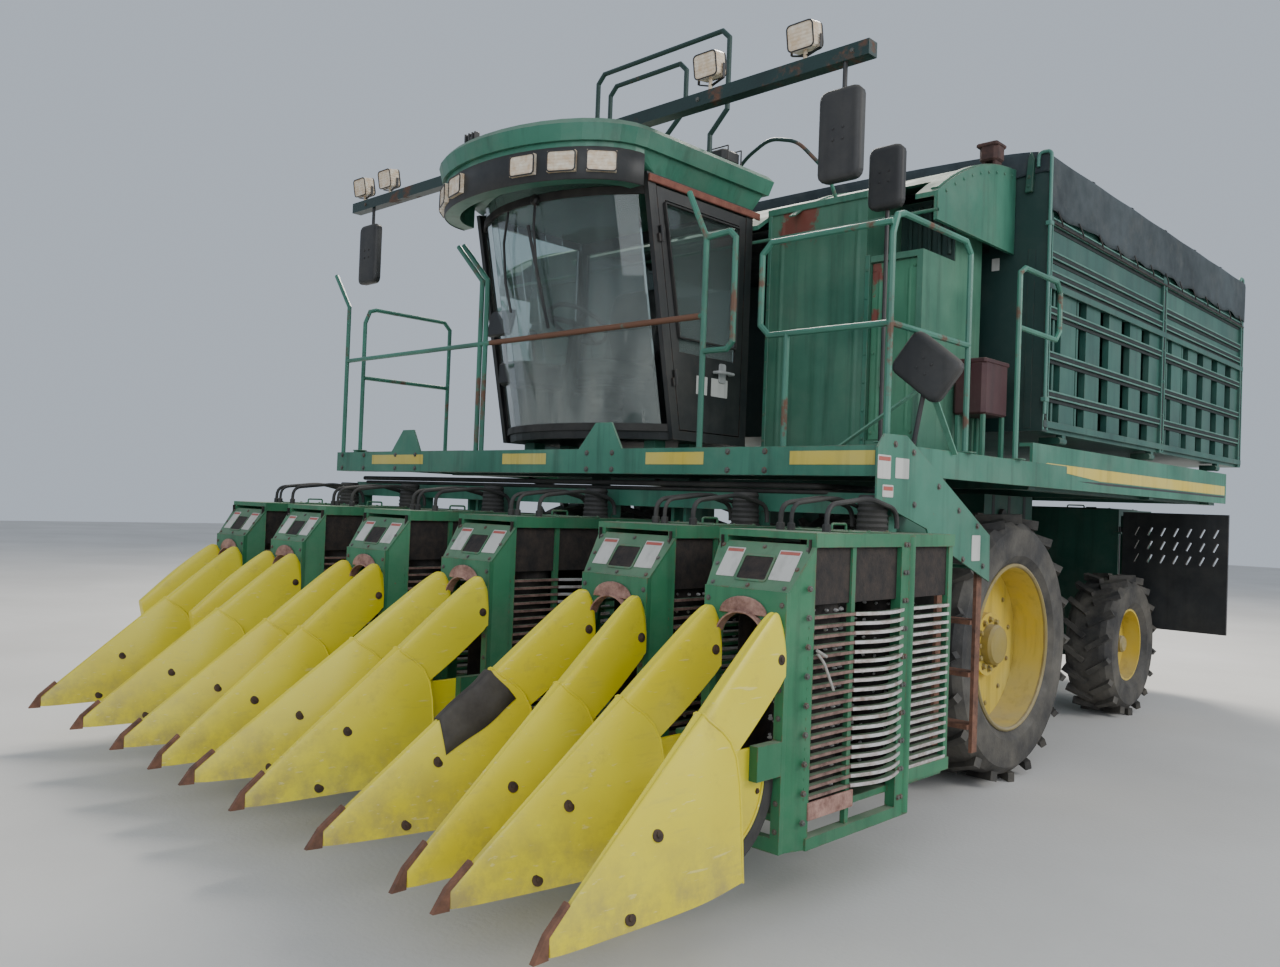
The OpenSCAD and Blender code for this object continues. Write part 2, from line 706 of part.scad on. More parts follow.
// Lamps on the bar: share of the half bar, and height above it
LAMPS = [[0.83, 130], [0.56, 150], [-0.80, 120], [-0.95, 120]];
module work_lamps() {
    color(amber)
        for (row = LAMPS)
            translate([bar_x + row[0] * bar_half, bar_y, bar_z + 40]) {
                translate([0, -15, row[1]]) rotate([100, 0, 0]) linear_extrude(80, center = true)
                    polygon(rounded(170, 140, 20));
                rod([0, 0, seat], [0, 0, row[1] - 30], 22, 8);
            }
    color(amber)
        translate([cab_x, cab_side - lean - 140, band_z0])
            for (t = BAND_LAMPS)
                band_lamp(t, 0);
}

// Mirrors: middle of the glass, its width and height, its tilt, and where its stem ends
MIRRORS = [[[2100, bar_y - 35, 3690], 250, 480, 0, [2100, bar_z - 40 - seat]],
    [[-2400, bar_y - 35, 3690], 250, 480, 0, [-2400, bar_z - 40 - seat]],
    [[1905, -540, 3705], 220, 370, 0, [1905, deck_z + seat]],
    [[2500, -1090, 2485], 330, 250, 38, [2425, deck_z + curb + 2.5]]];
module mirrors() {
    color(black)
        for (row = MIRRORS) {
            m = row[0];
            translate(m) rotate([90, row[3], 0]) linear_extrude(46, center = true)
                polygon(rounded(row[1], row[2], 45));
            rod([m[0], m[1] + 15, m[2]], [row[4][0], m[1] + 15, row[4][1]], 26, 8);
        }
}

// Air ducts
duct_y0 = -130;
duct_y1 = 660;
duct_z1 = 3800;
duct_x0 = cab_x + cab_w / 2 + 40;
duct_x1 = 1930;
duct_r0 = cab_x - cab_w / 2 - 140;
duct_r1 = -1790;
module duct_left() {
    color(green)
        difference() {
            box([duct_x0, duct_y0, deck_z + seat], [duct_x1, duct_y1, duct_z1]);
            // stepped corner over the low panel, and the strip beside it
            box([1530, duct_y0 - 1, 3370], [duct_x1 + 1, duct_y0 + 420, duct_z1 + 1]);
            box([1560, duct_y0 - 1, deck_z + 130], [duct_x1 - 40, duct_y0 + 30, 3330]);
        }
}

module duct_right() {
    color(dark_green)
        difference() {
            box([duct_r1, duct_y0, deck_z + seat], [duct_r0, duct_y1, duct_z1]);
            for (k = [0:4])
                box([duct_r1 - 1, duct_y0 - 1, deck_z + 250 + k * 300],
                    [duct_r0 + 1, duct_y0 + 25, deck_z + 290 + k * 300]);
        }
}

// The hood over the ducts: an arch of radius hood_r whose crown is at the basket
hood_z = 4075;
hood_r = 2000;
hood_front = cab_rear + 10;
hood_y = [for (k = [0:8]) basket_y0 - 10 + (hood_front - basket_y0 + 10) * k / 8];
module hood_profile(r, foot, x) {
    side_plate(concat([for (v = hood_y) [v, hood_z - hood_r + sqrt(r * r - pow(v - 950, 2))]],
        [[hood_front, foot], [basket_y0 - 10, foot]]), -x, x);
}
module duct_hood() {
    color(green)
        difference() {
            hood_profile(hood_r, 3500, 2080);
            hood_profile(hood_r - 25, 3490, 2055);
            box([-2055, basket_y0 - 20, 3490], [2055, basket_y0, 3900]);
            for (q = [[duct_x0, duct_x1], [duct_r1, duct_r0]])
                box([q[0] - seat, hood_front - 1, 3400], [q[1] + seat, duct_y1 + seat, duct_z1 + seat]);
        }
}

module side_panels() {
    color(green)
        for (s = [-1, 1])
            difference() {
                box([s * 2250 - 45, 710, 1940], [s * 2250 + 45, 5180, 2225]);
                box([s * 2225 - 50, 709, 1915], [s * 2225 + 50, 5181, 2200]);
            }
}

// Basket
basket_y1 = basket_y0 + basket_len;
basket_z1 = basket_z0 + basket_h;
basket_sheet = 20;
window_z0 = basket_z0 + 50;
window_z1 = basket_z0 + 970;
// Heights of the channels across a side above its lower edge: the upper ones lie on the closed sheet
CHANNEL_Z = [230, 490, 790, 1030, 1160, 1380, 1740];
channel_h = 50;
post_w = 90;
slots = 5;
module basket_shell() {
    h = basket_half;
    t = basket_t;
    bay = (basket_len - post_w) / 2;
    color(green)
        difference() {
            union() {
                difference() {
                    box([-h + basket_sheet, basket_y0, basket_z0],
                        [h - basket_sheet, basket_y1, basket_z1]);
                    box([-h + basket_sheet + t, basket_y0 + t, basket_z0 + t],
                        [h - basket_sheet - t, basket_y1 - t, basket_z1 + 1]);
                }
                for (s = [-1, 1]) {
                    for (b = [0:2])
                        box([s * (h - 20) - 20, basket_y0 + b * bay, basket_z0],
                            [s * (h - 20) + 20, basket_y0 + b * bay + post_w, basket_z1 + 20]);
                }
            }
            // slots between the upright ribs
            for (b = [0:1]) for (i = [0:slots - 1])
                box([-h - 1, basket_y0 + post_w + 40 + b * bay + i * (bay - 120) / slots, window_z0],
                    [h + 1, basket_y0 + post_w + 40 + b * bay + (i + 0.42) * (bay - 120) / slots,
                        window_z1]);
            box([-1900, basket_y0 - 1, basket_z1 - 560], [1900, basket_y0 + t + 1, basket_z1 - 110]);
        }
    color(green)
        for (s = [-1, 1]) for (z = CHANNEL_Z)
            box([s * (h - 22) - 18, basket_y0 + 30, basket_z0 + z],
                [s * (h - 22) + 18, basket_y1 - 30, basket_z0 + z + channel_h]);
    color(green) {
        for (y = HINGE_Y)
            difference() {
                union() {
                    box([hinge[0] - 26, y + 60.5, hinge[1]], [hinge[0] + 16, y + 120.5, basket_z0 + 5]);
                    translate([hinge[0], y + 60.5, hinge[1]]) rotate([-90, 0, 0])
                        cylinder(r = 26, h = 60, $fn = 48);
                }
                translate([hinge[0], y + 50, hinge[1]]) rotate([-90, 0, 0])
                    cylinder(r = 12.05, h = 80, $fn = 48);
            }
        for (y = CYL_Y)
            box([eye[0] - 60, y + 35, eye[1] - 50], [eye[0] + 60, y + 50, basket_z0 + 5]);
    }
}

cover_rise = 110;
module basket_cover() {
    h = basket_half - basket_sheet - 2;
    color(black)
        translate([0, basket_y1 - 30, basket_z1 + 20.3])
            rotate([90, 0, 0])
                linear_extrude(basket_len - 60)
                    polygon(concat([for (t = [0:15:180]) [h * cos(t), cover_rise * sin(t)]],
                        [for (t = [180:-15:0]) [(h - 40) * cos(t), (cover_rise - 40) * sin(t)]]));
}

// Basket cylinders: the local +Z runs from the foot pin to the rod's eye
cyl_len = norm(eye - foot);
module cylinder_axis(y) {
    translate([foot[0], y, foot[1]])
        rotate([0, 90 - atan2(eye[1] - foot[1], eye[0] - foot[0]), 0]) children();
}
module lift_barrels() {
    color(steel)
        for (y = CYL_Y)
            cylinder_axis(y)
                difference() {
                    union() {
                        rotate([90, 0, 0]) cylinder(r = 45, h = 60, center = true, $fn = 48);
                        translate([0, 0, 30]) cylinder(r = 42, h = cyl_len - 160, $fn = 48);
                    }
                    rotate([90, 0, 0]) cylinder(r = pin_r + 0.05, h = 62, center = true, $fn = 48);
                    translate([0, 0, 70]) cylinder(r = 25.05, h = cyl_len, $fn = 48);
                }
}

module lift_rods() {
    color(steel)
        for (y = CYL_Y)
            cylinder_axis(y) {
                translate([0, 0, 80]) cylinder(r = 25, h = cyl_len - 100, $fn = 48);
                translate([0, 0, cyl_len]) rotate([90, 0, 0])
                    cylinder(r = 45, h = 60, center = true, $fn = 48);
            }
}

// Header
tool_z0 = 1720;
tool_half = 2460;
module lift_arms() {
    color(green)
        for (s = [-1, 1])
            difference() {
                union() {
                    side_plate(bar(arm_pivot, arm_end, 110), s * arm_x - 30, s * arm_x + 30);
                    for (p = [arm_pivot, arm_end])
                        translate([s * arm_x, p[0], p[1]]) rotate([0, 90, 0])
                            cylinder(r = 70, h = 68, center = true, $fn = 48);
                }
                for (p = [arm_pivot, arm_end])
                    translate([s * arm_x, p[0], p[1]])
                        rotate([0, 90, 0]) cylinder(r = arm_pin_r + 0.05, h = 70, center = true, $fn = 48);
            }
    color(green)
        translate([-arm_x, (arm_pivot[0] + arm_end[0]) / 2 - 50, (arm_pivot[1] + arm_end[1]) / 2 + 20])
            rotate([0, 90, 0]) cylinder(r = 40, h = 2 * arm_x, $fn = 48);
}

module header_beam() {
    color(green) {
        box([-tool_half, -1330, tool_z0], [tool_half, -1200, tool_z0 + 110]);
        for (x = UNIT_X)
            box([x - 45, -1330, unit_z1], [x + 45, -1250, tool_z0 + 10]);
        for (s = [-1, 1])
            for (side = [-1, 1])
                box([s * arm_x + side * 48 - 12, arm_end[0] - 80, arm_end[1] - 70],
                    [s * arm_x + side * 48 + 12, arm_end[0] + 60, tool_z0 + 20]);
        for (s = [-1, 1])
            translate([s * arm_x - 55, arm_end[0], arm_end[1]]) rotate([0, 90, 0])
                cylinder(r = arm_pin_r, h = 110, $fn = 48);
    }
}

drum_x = 68;
// Depth of the sloping plate, and how far the lower frame steps up behind the strong post
plate_run = 140;
grid_z0 = unit_z0 + 205;
rear_step = 145;
// Centre of the lifters' curved shoes: distance ahead of the unit's face, and height
shoe_y = 330;
shoe_z = 650;

// Plan of a grid bar: straight, but bowed out between the thin post and the strong one
function grid_plan(w, y0, y1) = concat(
    [[w - 30, y0 + 120], [w, y0 + 120]],
    [for (t = [0:20:180]) [w + grid_bow * sin(t), y0 + 470 + (y1 - y0 - 940) * t / 180]],
    [[w, y1 - 30], [w - 30, y1 - 30]],
    [for (t = [180:-20:0]) [w - 30 + grid_bow * sin(t), y0 + 470 + (y1 - y0 - 940) * t / 180]]);

module row_unit(i) {
    x = UNIT_X[i];
    w = unit_w / 2;
    f = unit_front_w / 2;
    y0 = unit_front_y;
    y1 = unit_rear_y;
    rise = unit_z1 - 45 - plate_z0;
    plate_tilt = atan2(rise, plate_run);
    plate_len = norm([rise, plate_run]) + 2;
    translate([x, 0, 0]) {
        color(green) {
            // front frame with its arched opening
            difference() {
                box([-f, y0, unit_z0], [f, y0 + 40, plate_z0]);
                box([-f + 45, y0 - 1, unit_z0 + 60], [f - 45, y0 + 41, plate_z0 - 230]);
                translate([0, y0 - 1, plate_z0 - 232]) rotate([-90, 0, 0])
                    cylinder(r = f - 75, h = 42, $fn = 48);
            }
            // sloping plate with its window
            difference() {
                translate([0, y0 + 12, plate_z0 - 12])
                    rotate([plate_tilt, 0, 0])
                        linear_extrude(8)
                            polygon([[-f + 1, 0], [f - 1, 0], [w - 1, plate_len], [-w + 1, plate_len]]);
                translate([0, y0, plate_z0])
                    rotate([plate_tilt, 0, 0])
                        box([-75, 55, -15], [75, plate_len - 75, 30]);
            }
            // cheeks behind the sloping plate
            for (s = [0, 1])
                mirror([s, 0, 0])
                    intersection() {
                        translate([0, 0, unit_z0 + 2]) linear_extrude(unit_z1 - unit_z0)
                            polygon([[f - 32, y0 + 20], [f - 3, y0 + 20], [w - 3, y0 + 146],
                                [w - 32, y0 + 146]]);
                        side_plate([[y0, 0], [y0 + 8, plate_z0 - 10],
                            [y0 + 8 + plate_run, plate_z0 - 10 + rise],
                            [y0 + 150, plate_z0 - 10 + rise], [y0 + 150, 0]], 0, w);
                    }
            // rear posts and rails
            for (s = [-1, 1]) {
                box([s * (w - 25) - 25, y1 - 520, unit_z0], [s * (w - 25) + 25, y1 - 440, unit_z1 - 20]);
                translate([s * (w - 12), y1 - 425, unit_z0 + 10])
                    cylinder(r = 26, h = unit_z1 - unit_z0 - 20, $fn = 24);
                box([s * (w - 25) - 25, y0 + 130, unit_z0], [s * (w - 25) + 25, y1 - 400, unit_z0 + 50]);
                box([s * (w - 25) - 25, y1 - 460, unit_z0 + rear_step],
                    [s * (w - 25) + 25, y1, unit_z0 + rear_step + 60]);
                box([s * (w - 25) - 25, y0 + 140, unit_z1 - 60], [s * (w - 25) + 25, y1, unit_z1 - 10]);
            }
            // cover
            box([-w, y0 + 140, unit_z1 - 30], [w, y1, unit_z1]);
        }
        color(rust)
            for (s = [-1, 1]) {
                box([s * (w - 25) - 15, y1 - 40, unit_z0 + rear_step + 50],
                    [s * (w - 25) + 15, y1, unit_z1 - 50]);
                box([s * (w - 25) - 12, y0 + 440, unit_z0 + 45],
                    [s * (w - 25) + 12, y0 + 470, unit_z1 - 50]);
            }
        color(steel)
            for (s = [0, 1]) for (k = [0:grid_bars - 1])
                translate([0, 0, grid_z0 + k * grid_pitch])
                    mirror([s, 0, 0]) linear_extrude(grid_t) polygon(grid_plan(w - 10, y0, y1));
        // floor that carries the drums
        color(dark_green)
            box([-w + 40, y0 + 39, grid_z0 - 90], [w - 40, y1, grid_z0 - 60]);
        // brackets of the lifters, and the curved rubber skirts behind their shoes
        for (s = [0, 1])
            mirror([s, 0, 0]) {
                color(green)
                    box([lifter_gauge / 2 + 8, y0 - 160, shoe_z],
                        [lifter_gauge / 2 + 49, y0 + 10, shoe_z + 140]);
                color(black)
                    intersection() {
                        translate([lifter_gauge / 2 - 10, y0 - shoe_y, shoe_z]) rotate([0, 90, 0])
                            difference() {
                                cylinder(r = shoe_y + 4, h = 20, $fn = 96);
                                translate([0, 0, -1]) cylinder(r = shoe_r + 5, h = 22, $fn = 96);
                            }
                        box([0, y0 - shoe_y + 8, 0], [w, y0 + 20, shoe_z + 60]);
                    }
            }
    }
}

DRUM_Y = [-2040, -1420];
module picker_drums() {
    color(steel)
        for (x = UNIT_X) for (y = DRUM_Y)
            translate([x + drum_x, y, grid_z0 - 60 + seat]) {
                cylinder(r = drum_r, h = plate_z0 - grid_z0, $fn = 48);
                cylinder(r = 40, h = unit_z1 - 30 - grid_z0 + 60 - 2 * seat, $fn = 48);
            }
}

// Stalk lifters. A section runs from the ridge over the shoulder to the lower edge. Columns: distance
// ahead of
// the unit's face and height of each of the three, then the half widths there
POINT = [
    [1225, 331, 1225, 303, 1225, 272, 7, 14, 18],
    [1140, 409, 1135, 345, 1130, 273, 12, 27, 34],
    [830, 672, 815, 500, 800, 290, 20, 60, 82],
    [590, 875, 565, 640, 545, 302, 27, 84, 102],
    [490, 958, 350, 785, 335, 326, 34, 66, 106]];
ARM = [
    [489.6, 958, 419.6, 871.5, 349.6, 785, 29, 44, 55],
    [300, 1122, 240, 1012, 190, 895, 27, 38, 42],
    [110, 1278, 70, 1130, 45, 1012, 24, 34, 35],
    [42, 1310, 20, 1180, 12, 1045, 18, 33, 34],
    [0, 1255, 0, 1150, 0, 1055, 14, 32, 34]];
// Lower end of an arm whose point is missing
STUB = [520, 905, 500, 800, 480, 705, 24, 32, 34];
tip_ahead = POINT[0][0];
// A shoe starts this far behind its own centre, just behind the point
shoe_gap = 12;

arm_shift = 24;
// Outline of a tip's iron: distance ahead of the face and height
IRON = [[1290.6, 262], [1225.6, 262], [1225.6, 333], [1137.6, 414], [1147.6, 428], [1239.6, 344]];
// Sideways place of a lifter at a distance ahead of the face: it leads from its bolt to where its tip
// stands
function lifter_x(row, ahead) = let (g = arm_shift + col(row, "side") * lifter_gauge / 2)
    UNIT_X[col(row, "unit")] + g + (col(row, "tip") - g) * ahead / tip_ahead;
// Corners of one section: the ridge dropped a little to each side, then shoulder and lower edge
function half_section(q) = [[q[0], q[1] - 0.45 * q[6], q[6]], [q[2], q[3], q[7]], [q[4], q[5], q[8]]];
function lifter_ring(row, q) = let (h = half_section(q))
    [for (c = concat([[q[0], q[1], 0]], h, [for (k = [2:-1:0]) [h[k][0], h[k][1], -h[k][2]]]))
        [lifter_x(row, c[0]) + c[2], unit_front_y - seat - c[0], c[1]]];

module stalk_lifters() {
    color(yellow)
        for (row = LIFTERS) {
            if (col(row, "whole"))
                skin([for (q = POINT) lifter_ring(row, q)]);
            skin([for (k = [0:len(ARM) - 1])
                lifter_ring(row, k == 0 && !col(row, "whole") ? STUB : ARM[k])]);
            // curved shoe on its bracket
            if (col(row, "whole"))
                translate([UNIT_X[col(row, "unit")] + col(row, "side") * lifter_gauge / 2,
                    unit_front_y - shoe_y, shoe_z])
                    intersection() {
                        rotate([0, 90, 0]) cylinder(r = shoe_r, h = 15.4, center = true, $fn = 96);
                        box([-20, shoe_gap, -shoe_r], [20, shoe_r, 130]);
                    }
        }
}

module tip_irons() {
    color(rust)
        for (row = LIFTERS)
            if (col(row, "whole"))
                skin([for (x = [-11, 11]) [for (q = IRON)
                    [lifter_x(row, q[0]) + x, unit_front_y - q[0], q[1]]]]);
}

// Wheels
lug_slant = 35;
lug_foot = 19;
module tyre(r, w, rim, lugs) {
    crown = r - lug_h;
    len = (w / 2 - 14) / cos(lug_slant);
    rotate([0, 90, 0]) {
        rotate_extrude($fn = 72)
            polygon([[rim, -w / 2 + 40], [rim + 60, -w / 2], [crown - 60, -w / 2],
                [crown - 12, -w / 2 + 45], [crown, -w / 2 + 90],
                [crown, w / 2 - 90], [crown - 12, w / 2 - 45], [crown - 60, w / 2], [rim + 60, w / 2],
                    [rim, w / 2 - 40]]);
        // tread bars, slanted to each side in turn; they end 10 mm short of the tyre's full radius
        for (i = [0:lugs - 1]) for (s = [-1, 1])
            rotate([0, 0, 360 * (i + s / 4) / lugs]) translate([crown - 25, 0, s * (w / 4 + 4)])
                rotate([s * lug_slant, 0, 0])
                box([0, -22, -len / 2], [lug_h + lug_foot, 22, len / 2]);
    }
}

front_rim = 545;
TWIN_X = [965, 1930];
module front_tyres(s) {
    color(black)
        for (x = TWIN_X)
            translate([s * x, front_axle_y, front_r]) tyre(front_r, front_w, front_rim, 20);
}

module front_rims(s) {
    color(yellow)
        translate([0, front_axle_y, front_r])
            difference() {
                union() {
                    for (x = TWIN_X)
                        translate([s * x - front_w / 2 + 40, 0, 0]) rotate([0, 90, 0])
                            difference() {
                                cylinder(r = front_rim - 0.3, h = front_w - 80, $fn = 72);
                                translate([0, 0, -1]) cylinder(r = front_rim - 20, h = front_w, $fn = 72);
                            }
                    for (x = TWIN_X)
                        translate([s * x - 10, 0, 0]) rotate([0, 90, 0])
                            cylinder(r = front_rim - 10, h = 20, $fn = 72);
                    translate([s == 1 ? hub_x + 7 : -2000, 0, 0]) rotate([0, 90, 0])
                        cylinder(r = 210, h = 1993 - hub_x, $fn = 48);
                }
                translate([-hub_x - 150, 0, 0])
                    rotate([0, 90, 0]) cylinder(r = spindle_r + 0.05, h = 2 * hub_x + 300, $fn = 48);
            }
}

rear_rim = 320;
wheel_x = 1690;
module rear_tyre(s) {
    color(black)
        translate([s * wheel_x, rear_axle_y, hub_z]) tyre(rear_r, rear_w, rear_rim, 18);
}

module rear_rim(s) {
    color(yellow)
        translate([s * wheel_x, rear_axle_y, hub_z])
            rotate([0, s * 90, 0])
                difference() {
                    union() {
                        translate([0, 0, -rear_w / 2 + 40])
                            difference() {
                                cylinder(r = rear_rim - 0.3, h = rear_w - 80, $fn = 72);
                                translate([0, 0, -1]) cylinder(r = rear_rim - 18, h = rear_w, $fn = 72);
                            }
                        cylinder(r = rear_rim - 10, h = 16, $fn = 72);
                        translate([0, 0, -60]) cylinder(r = 100, h = 120, $fn = 48);
                    }
                    translate([0, 0, -61]) cylinder(r = 42.05, h = 40, $fn = 48);
                }
}

module centred() {
    translate([0, centre_y, 0]) children();
}

centred() main_frame();
centred() front_axle();
centred() rear_axle();
centred() engine_block();
centred() engine_housing();
centred() tanks();
centred() platform();
centred() boarding_steps();
centred() guard_rails();
centred() cab_frame();
centred() cab_roof();
centred() windscreen();
centred() cab_glass();
centred() cab_seat();
centred() steering_column();
centred() light_bar();
centred() work_lamps();
centred() mirrors();
centred() duct_left();
centred() duct_right();
centred() duct_hood();
centred() side_panels();
centred() lift_barrels();
centred() lift_rods();
centred() lift_arms();
centred() header_beam();
centred() row_unit(0);  // row_unit_1
centred() row_unit(1);  // row_unit_2
centred() row_unit(2);  // row_unit_3
centred() row_unit(3);  // row_unit_4
centred() row_unit(4);  // row_unit_5
centred() row_unit(5);  // row_unit_6
centred() picker_drums();
centred() stalk_lifters();
centred() tip_irons();
centred() front_tyres(1);  // front_tyres_left
centred() front_rims(1);  // front_rims_left
centred() front_tyres(-1);  // front_tyres_right
centred() front_rims(-1);  // front_rims_right
centred() knuckle(1);  // knuckle_left
centred() knuckle(-1);  // knuckle_right
centred() rear_tyre(1);  // rear_tyre_left
centred() rear_rim(1);  // rear_rim_left
centred() rear_tyre(-1);  // rear_tyre_right
centred() rear_rim(-1);  // rear_rim_right
centred() cab_door();
centred() door_glass();
centred() folding_steps();
centred() engine_door();
centred() basket_shell();
centred() basket_cover();
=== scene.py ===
"""A six-row cotton picker: the looks of each piece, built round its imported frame."""

import math

import bmesh
import bpy
import numpy as np
from mathutils import Matrix, Vector


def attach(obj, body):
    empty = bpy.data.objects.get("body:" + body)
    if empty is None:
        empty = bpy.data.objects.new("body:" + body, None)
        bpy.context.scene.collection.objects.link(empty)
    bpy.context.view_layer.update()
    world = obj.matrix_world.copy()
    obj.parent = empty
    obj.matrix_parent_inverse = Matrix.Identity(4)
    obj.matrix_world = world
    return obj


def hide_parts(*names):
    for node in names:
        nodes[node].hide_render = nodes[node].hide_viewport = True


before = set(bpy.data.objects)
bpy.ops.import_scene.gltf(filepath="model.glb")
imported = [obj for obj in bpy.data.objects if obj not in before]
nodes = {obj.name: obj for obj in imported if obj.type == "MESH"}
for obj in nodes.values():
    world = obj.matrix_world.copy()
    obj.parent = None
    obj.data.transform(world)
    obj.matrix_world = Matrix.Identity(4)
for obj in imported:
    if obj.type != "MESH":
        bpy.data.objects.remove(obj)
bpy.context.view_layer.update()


# The stage. A pale floor and a soft grey room; the camera stands where the photographer stood,
# at eye level off the machine's front left corner, rolled a little.
EYE = Vector((5.095, -6.942, 1.736))
YAW, PITCH, ROLL = math.radians(43.61), math.radians(1.1), math.radians(2.127)
FOCAL_PX, PHOTO_W = 1038.8, 1280

forward = Vector((-math.sin(YAW) * math.cos(PITCH), math.cos(YAW) * math.cos(PITCH), math.sin(PITCH)))
level_right = Vector((math.cos(YAW), math.sin(YAW), 0))
level_up = level_right.cross(forward)
right = level_right * math.cos(ROLL) + level_up * math.sin(ROLL)
up = level_up * math.cos(ROLL) - level_right * math.sin(ROLL)
camera = bpy.data.objects.new("camera", bpy.data.cameras.new("camera"))
camera.data.sensor_width = 36
camera.data.lens = 36 * FOCAL_PX / PHOTO_W
camera.data.clip_end = 200
camera.matrix_world = Matrix.Translation(EYE) @ Matrix((right, up, -forward)).transposed().to_4x4()
bpy.context.scene.collection.objects.link(camera)
bpy.context.scene.camera = camera

# The drawing board's Y zero lies 1.04 m ahead of the frame's origin; every size below is in the board's metres.
BOARD = np.array([0.0, -1.04, 0.0])
# axes, and the planes of plates that lie flat, face left and face the front: along u, along v
FRONT, BACK, LEFT, UP = (0, -1, 0), (0, 1, 0), (1, 0, 0), (0, 0, 1)
TOP, SIDE, WALL = (LEFT, BACK), (BACK, UP), (LEFT, UP)


def lay_quads(rows, columns, around=False, along=False):
    """Index quads of a grid of points, row by row. around joins the last column to the first, along the last row."""
    i = np.arange(rows if along else rows - 1)[:, None]
    j = np.arange(columns if around else columns - 1)[None, :]
    a, b = i * columns + j, i * columns + (j + 1) % columns
    c, d = (i + 1) % rows * columns + (j + 1) % columns, (i + 1) % rows * columns + j
    return np.stack([a, b, c, d], -1).reshape(-1, 4)


def stacked(grid):
    """A shape of closed rings, the rows of a grid of points; flat faces cover the first and the last ring."""
    rows, columns = grid.shape[:2]
    last = (rows - 1) * columns
    faces = lay_quads(rows, columns, around=True).tolist()
    return grid.reshape(-1, 3), faces + [list(range(columns))[::-1], list(range(last, last + columns))]


def joined(*parts):
    """Several (points, faces) shapes as one, each one's face numbers raised by the points before it."""
    points, faces, count = [], [], 0
    for some_points, some_faces in parts:
        some_points = np.asarray(some_points, float).reshape(-1, 3)
        points.append(some_points)
        faces += [[int(v) + count for v in face] for face in some_faces]
        count += len(some_points)
    return np.concatenate(points), faces


def piece(name, shape, material, body="chassis", smooth=False):
    """A mesh object from (points, faces) or a list of such shapes, its faces turned outwards, riding on a body of the
    frame. smooth is True, False, or the angle in degrees over which an edge stays sharp."""
    points, faces = joined(*shape) if isinstance(shape, list) else shape
    mesh = bpy.data.meshes.new(name)
    mesh.from_pydata((np.asarray(points, float).reshape(-1, 3) + BOARD).tolist(), [],
                     [list(map(int, f)) for f in faces])
    mesh.validate()
    work = bmesh.new()
    work.from_mesh(mesh)
    bmesh.ops.recalc_face_normals(work, faces=work.faces)
    work.to_mesh(mesh)
    work.free()
    if smooth is True:
        mesh.shade_smooth()
    elif smooth:
        mesh.set_sharp_from_angle(angle=math.radians(smooth))
        mesh.polygons.foreach_set("use_smooth", [True] * len(mesh.polygons))
    mesh.materials.append(material)
    made = bpy.data.objects.new(name, mesh)
    bpy.context.scene.collection.objects.link(made)
    if body:
        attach(made, body)
    return made


class Recipe:
    """A node material in the making: add() puts in a node, wires its sockets and returns it."""

    def __init__(self, name):
        self.material = bpy.data.materials.new(name)
        self.material.use_nodes = True
        self.tree = self.material.node_tree
        self.shader = self.tree.nodes["Principled BSDF"]
        self.place = self.tree.nodes.new("ShaderNodeTexCoord")

    def add(self, kind, wires=(), **settings):
        node = self.tree.nodes.new("ShaderNode" + kind)
        for key, value in settings.items():
            setattr(node, key, value)
        for socket, value in dict(wires).items():
            self.wire(node.inputs[socket], value)
        return node

    def wire(self, socket, value):
        if isinstance(value, bpy.types.NodeSocket):
            self.tree.links.new(value, socket)
        else:
            socket.default_value = value

    def noise(self, scale, detail=4.0, roughness=0.55, stretch=(1, 1, 1)):
        """Noise over the object's own coordinates, stretched per axis."""
        spot = self.add("Mapping", {"Vector": self.place.outputs["Object"], "Scale": stretch})
        return self.add("TexNoise", {"Vector": spot.outputs[0], "Scale": scale, "Detail": detail,
                                     "Roughness": roughness}).outputs["Fac"]

    def ramp(self, fac, low, high, bottom=0.0, top=1.0):
        """fac from low to high, read as bottom to top."""
        return self.add("MapRange", {"Value": fac, "From Min": low, "From Max": high,
                                     "To Min": bottom, "To Max": top}).outputs["Result"]

    def times(self, a, b):
        return self.add("Math", {0: a, 1: b}, operation="MULTIPLY").outputs[0]

    def larger(self, a, b):
        return self.add("Math", {0: a, 1: b}, operation="MAXIMUM").outputs[0]

    def along(self, axis):
        """The object's own coordinate along X, Y or Z."""
        return self.add("SeparateXYZ", {0: self.place.outputs["Object"]}).outputs[axis]

    def blend(self, fac, a, b):
        """Colour a where fac is 0, b where it is 1."""
        mix = self.add("Mix", data_type="RGBA")
        for socket, value in ((0, fac), (6, a), (7, b)):
            self.wire(mix.inputs[socket], value)
        return mix.outputs[2]

    def finish(self, colour, roughness, bump=None, bump_depth=0.001, **sockets):
        self.wire(self.shader.inputs["Base Color"], colour)
        self.wire(self.shader.inputs["Roughness"], roughness)
        for key, value in sockets.items():
            self.wire(self.shader.inputs[key.replace("_", " ")], value)
        if bump is not None:
            ridge = self.add("Bump", {"Height": bump, "Distance": bump_depth, "Strength": 1.0})
            self.wire(self.shader.inputs["Normal"], ridge.outputs[0])
        return self.material


concrete = Recipe("pale_floor")
clouds = concrete.noise(0.35, 5)
pale_floor = concrete.finish(
    concrete.blend(concrete.ramp(clouds, 0.35, 0.65), (0.56, 0.545, 0.52, 1), (0.64, 0.625, 0.6, 1)),
    0.85, concrete.noise(40), 0.002)
FLOOR_HALF = 45.0
spread = np.linspace(-FLOOR_HALF, FLOOR_HALF, 7)
floor_points = np.stack(np.meshgrid(spread, spread, indexing="ij") + [np.zeros((7, 7))], -1)
floor = piece("floor", (floor_points, lay_quads(7, 7)[:, ::-1]), pale_floor, body=None)

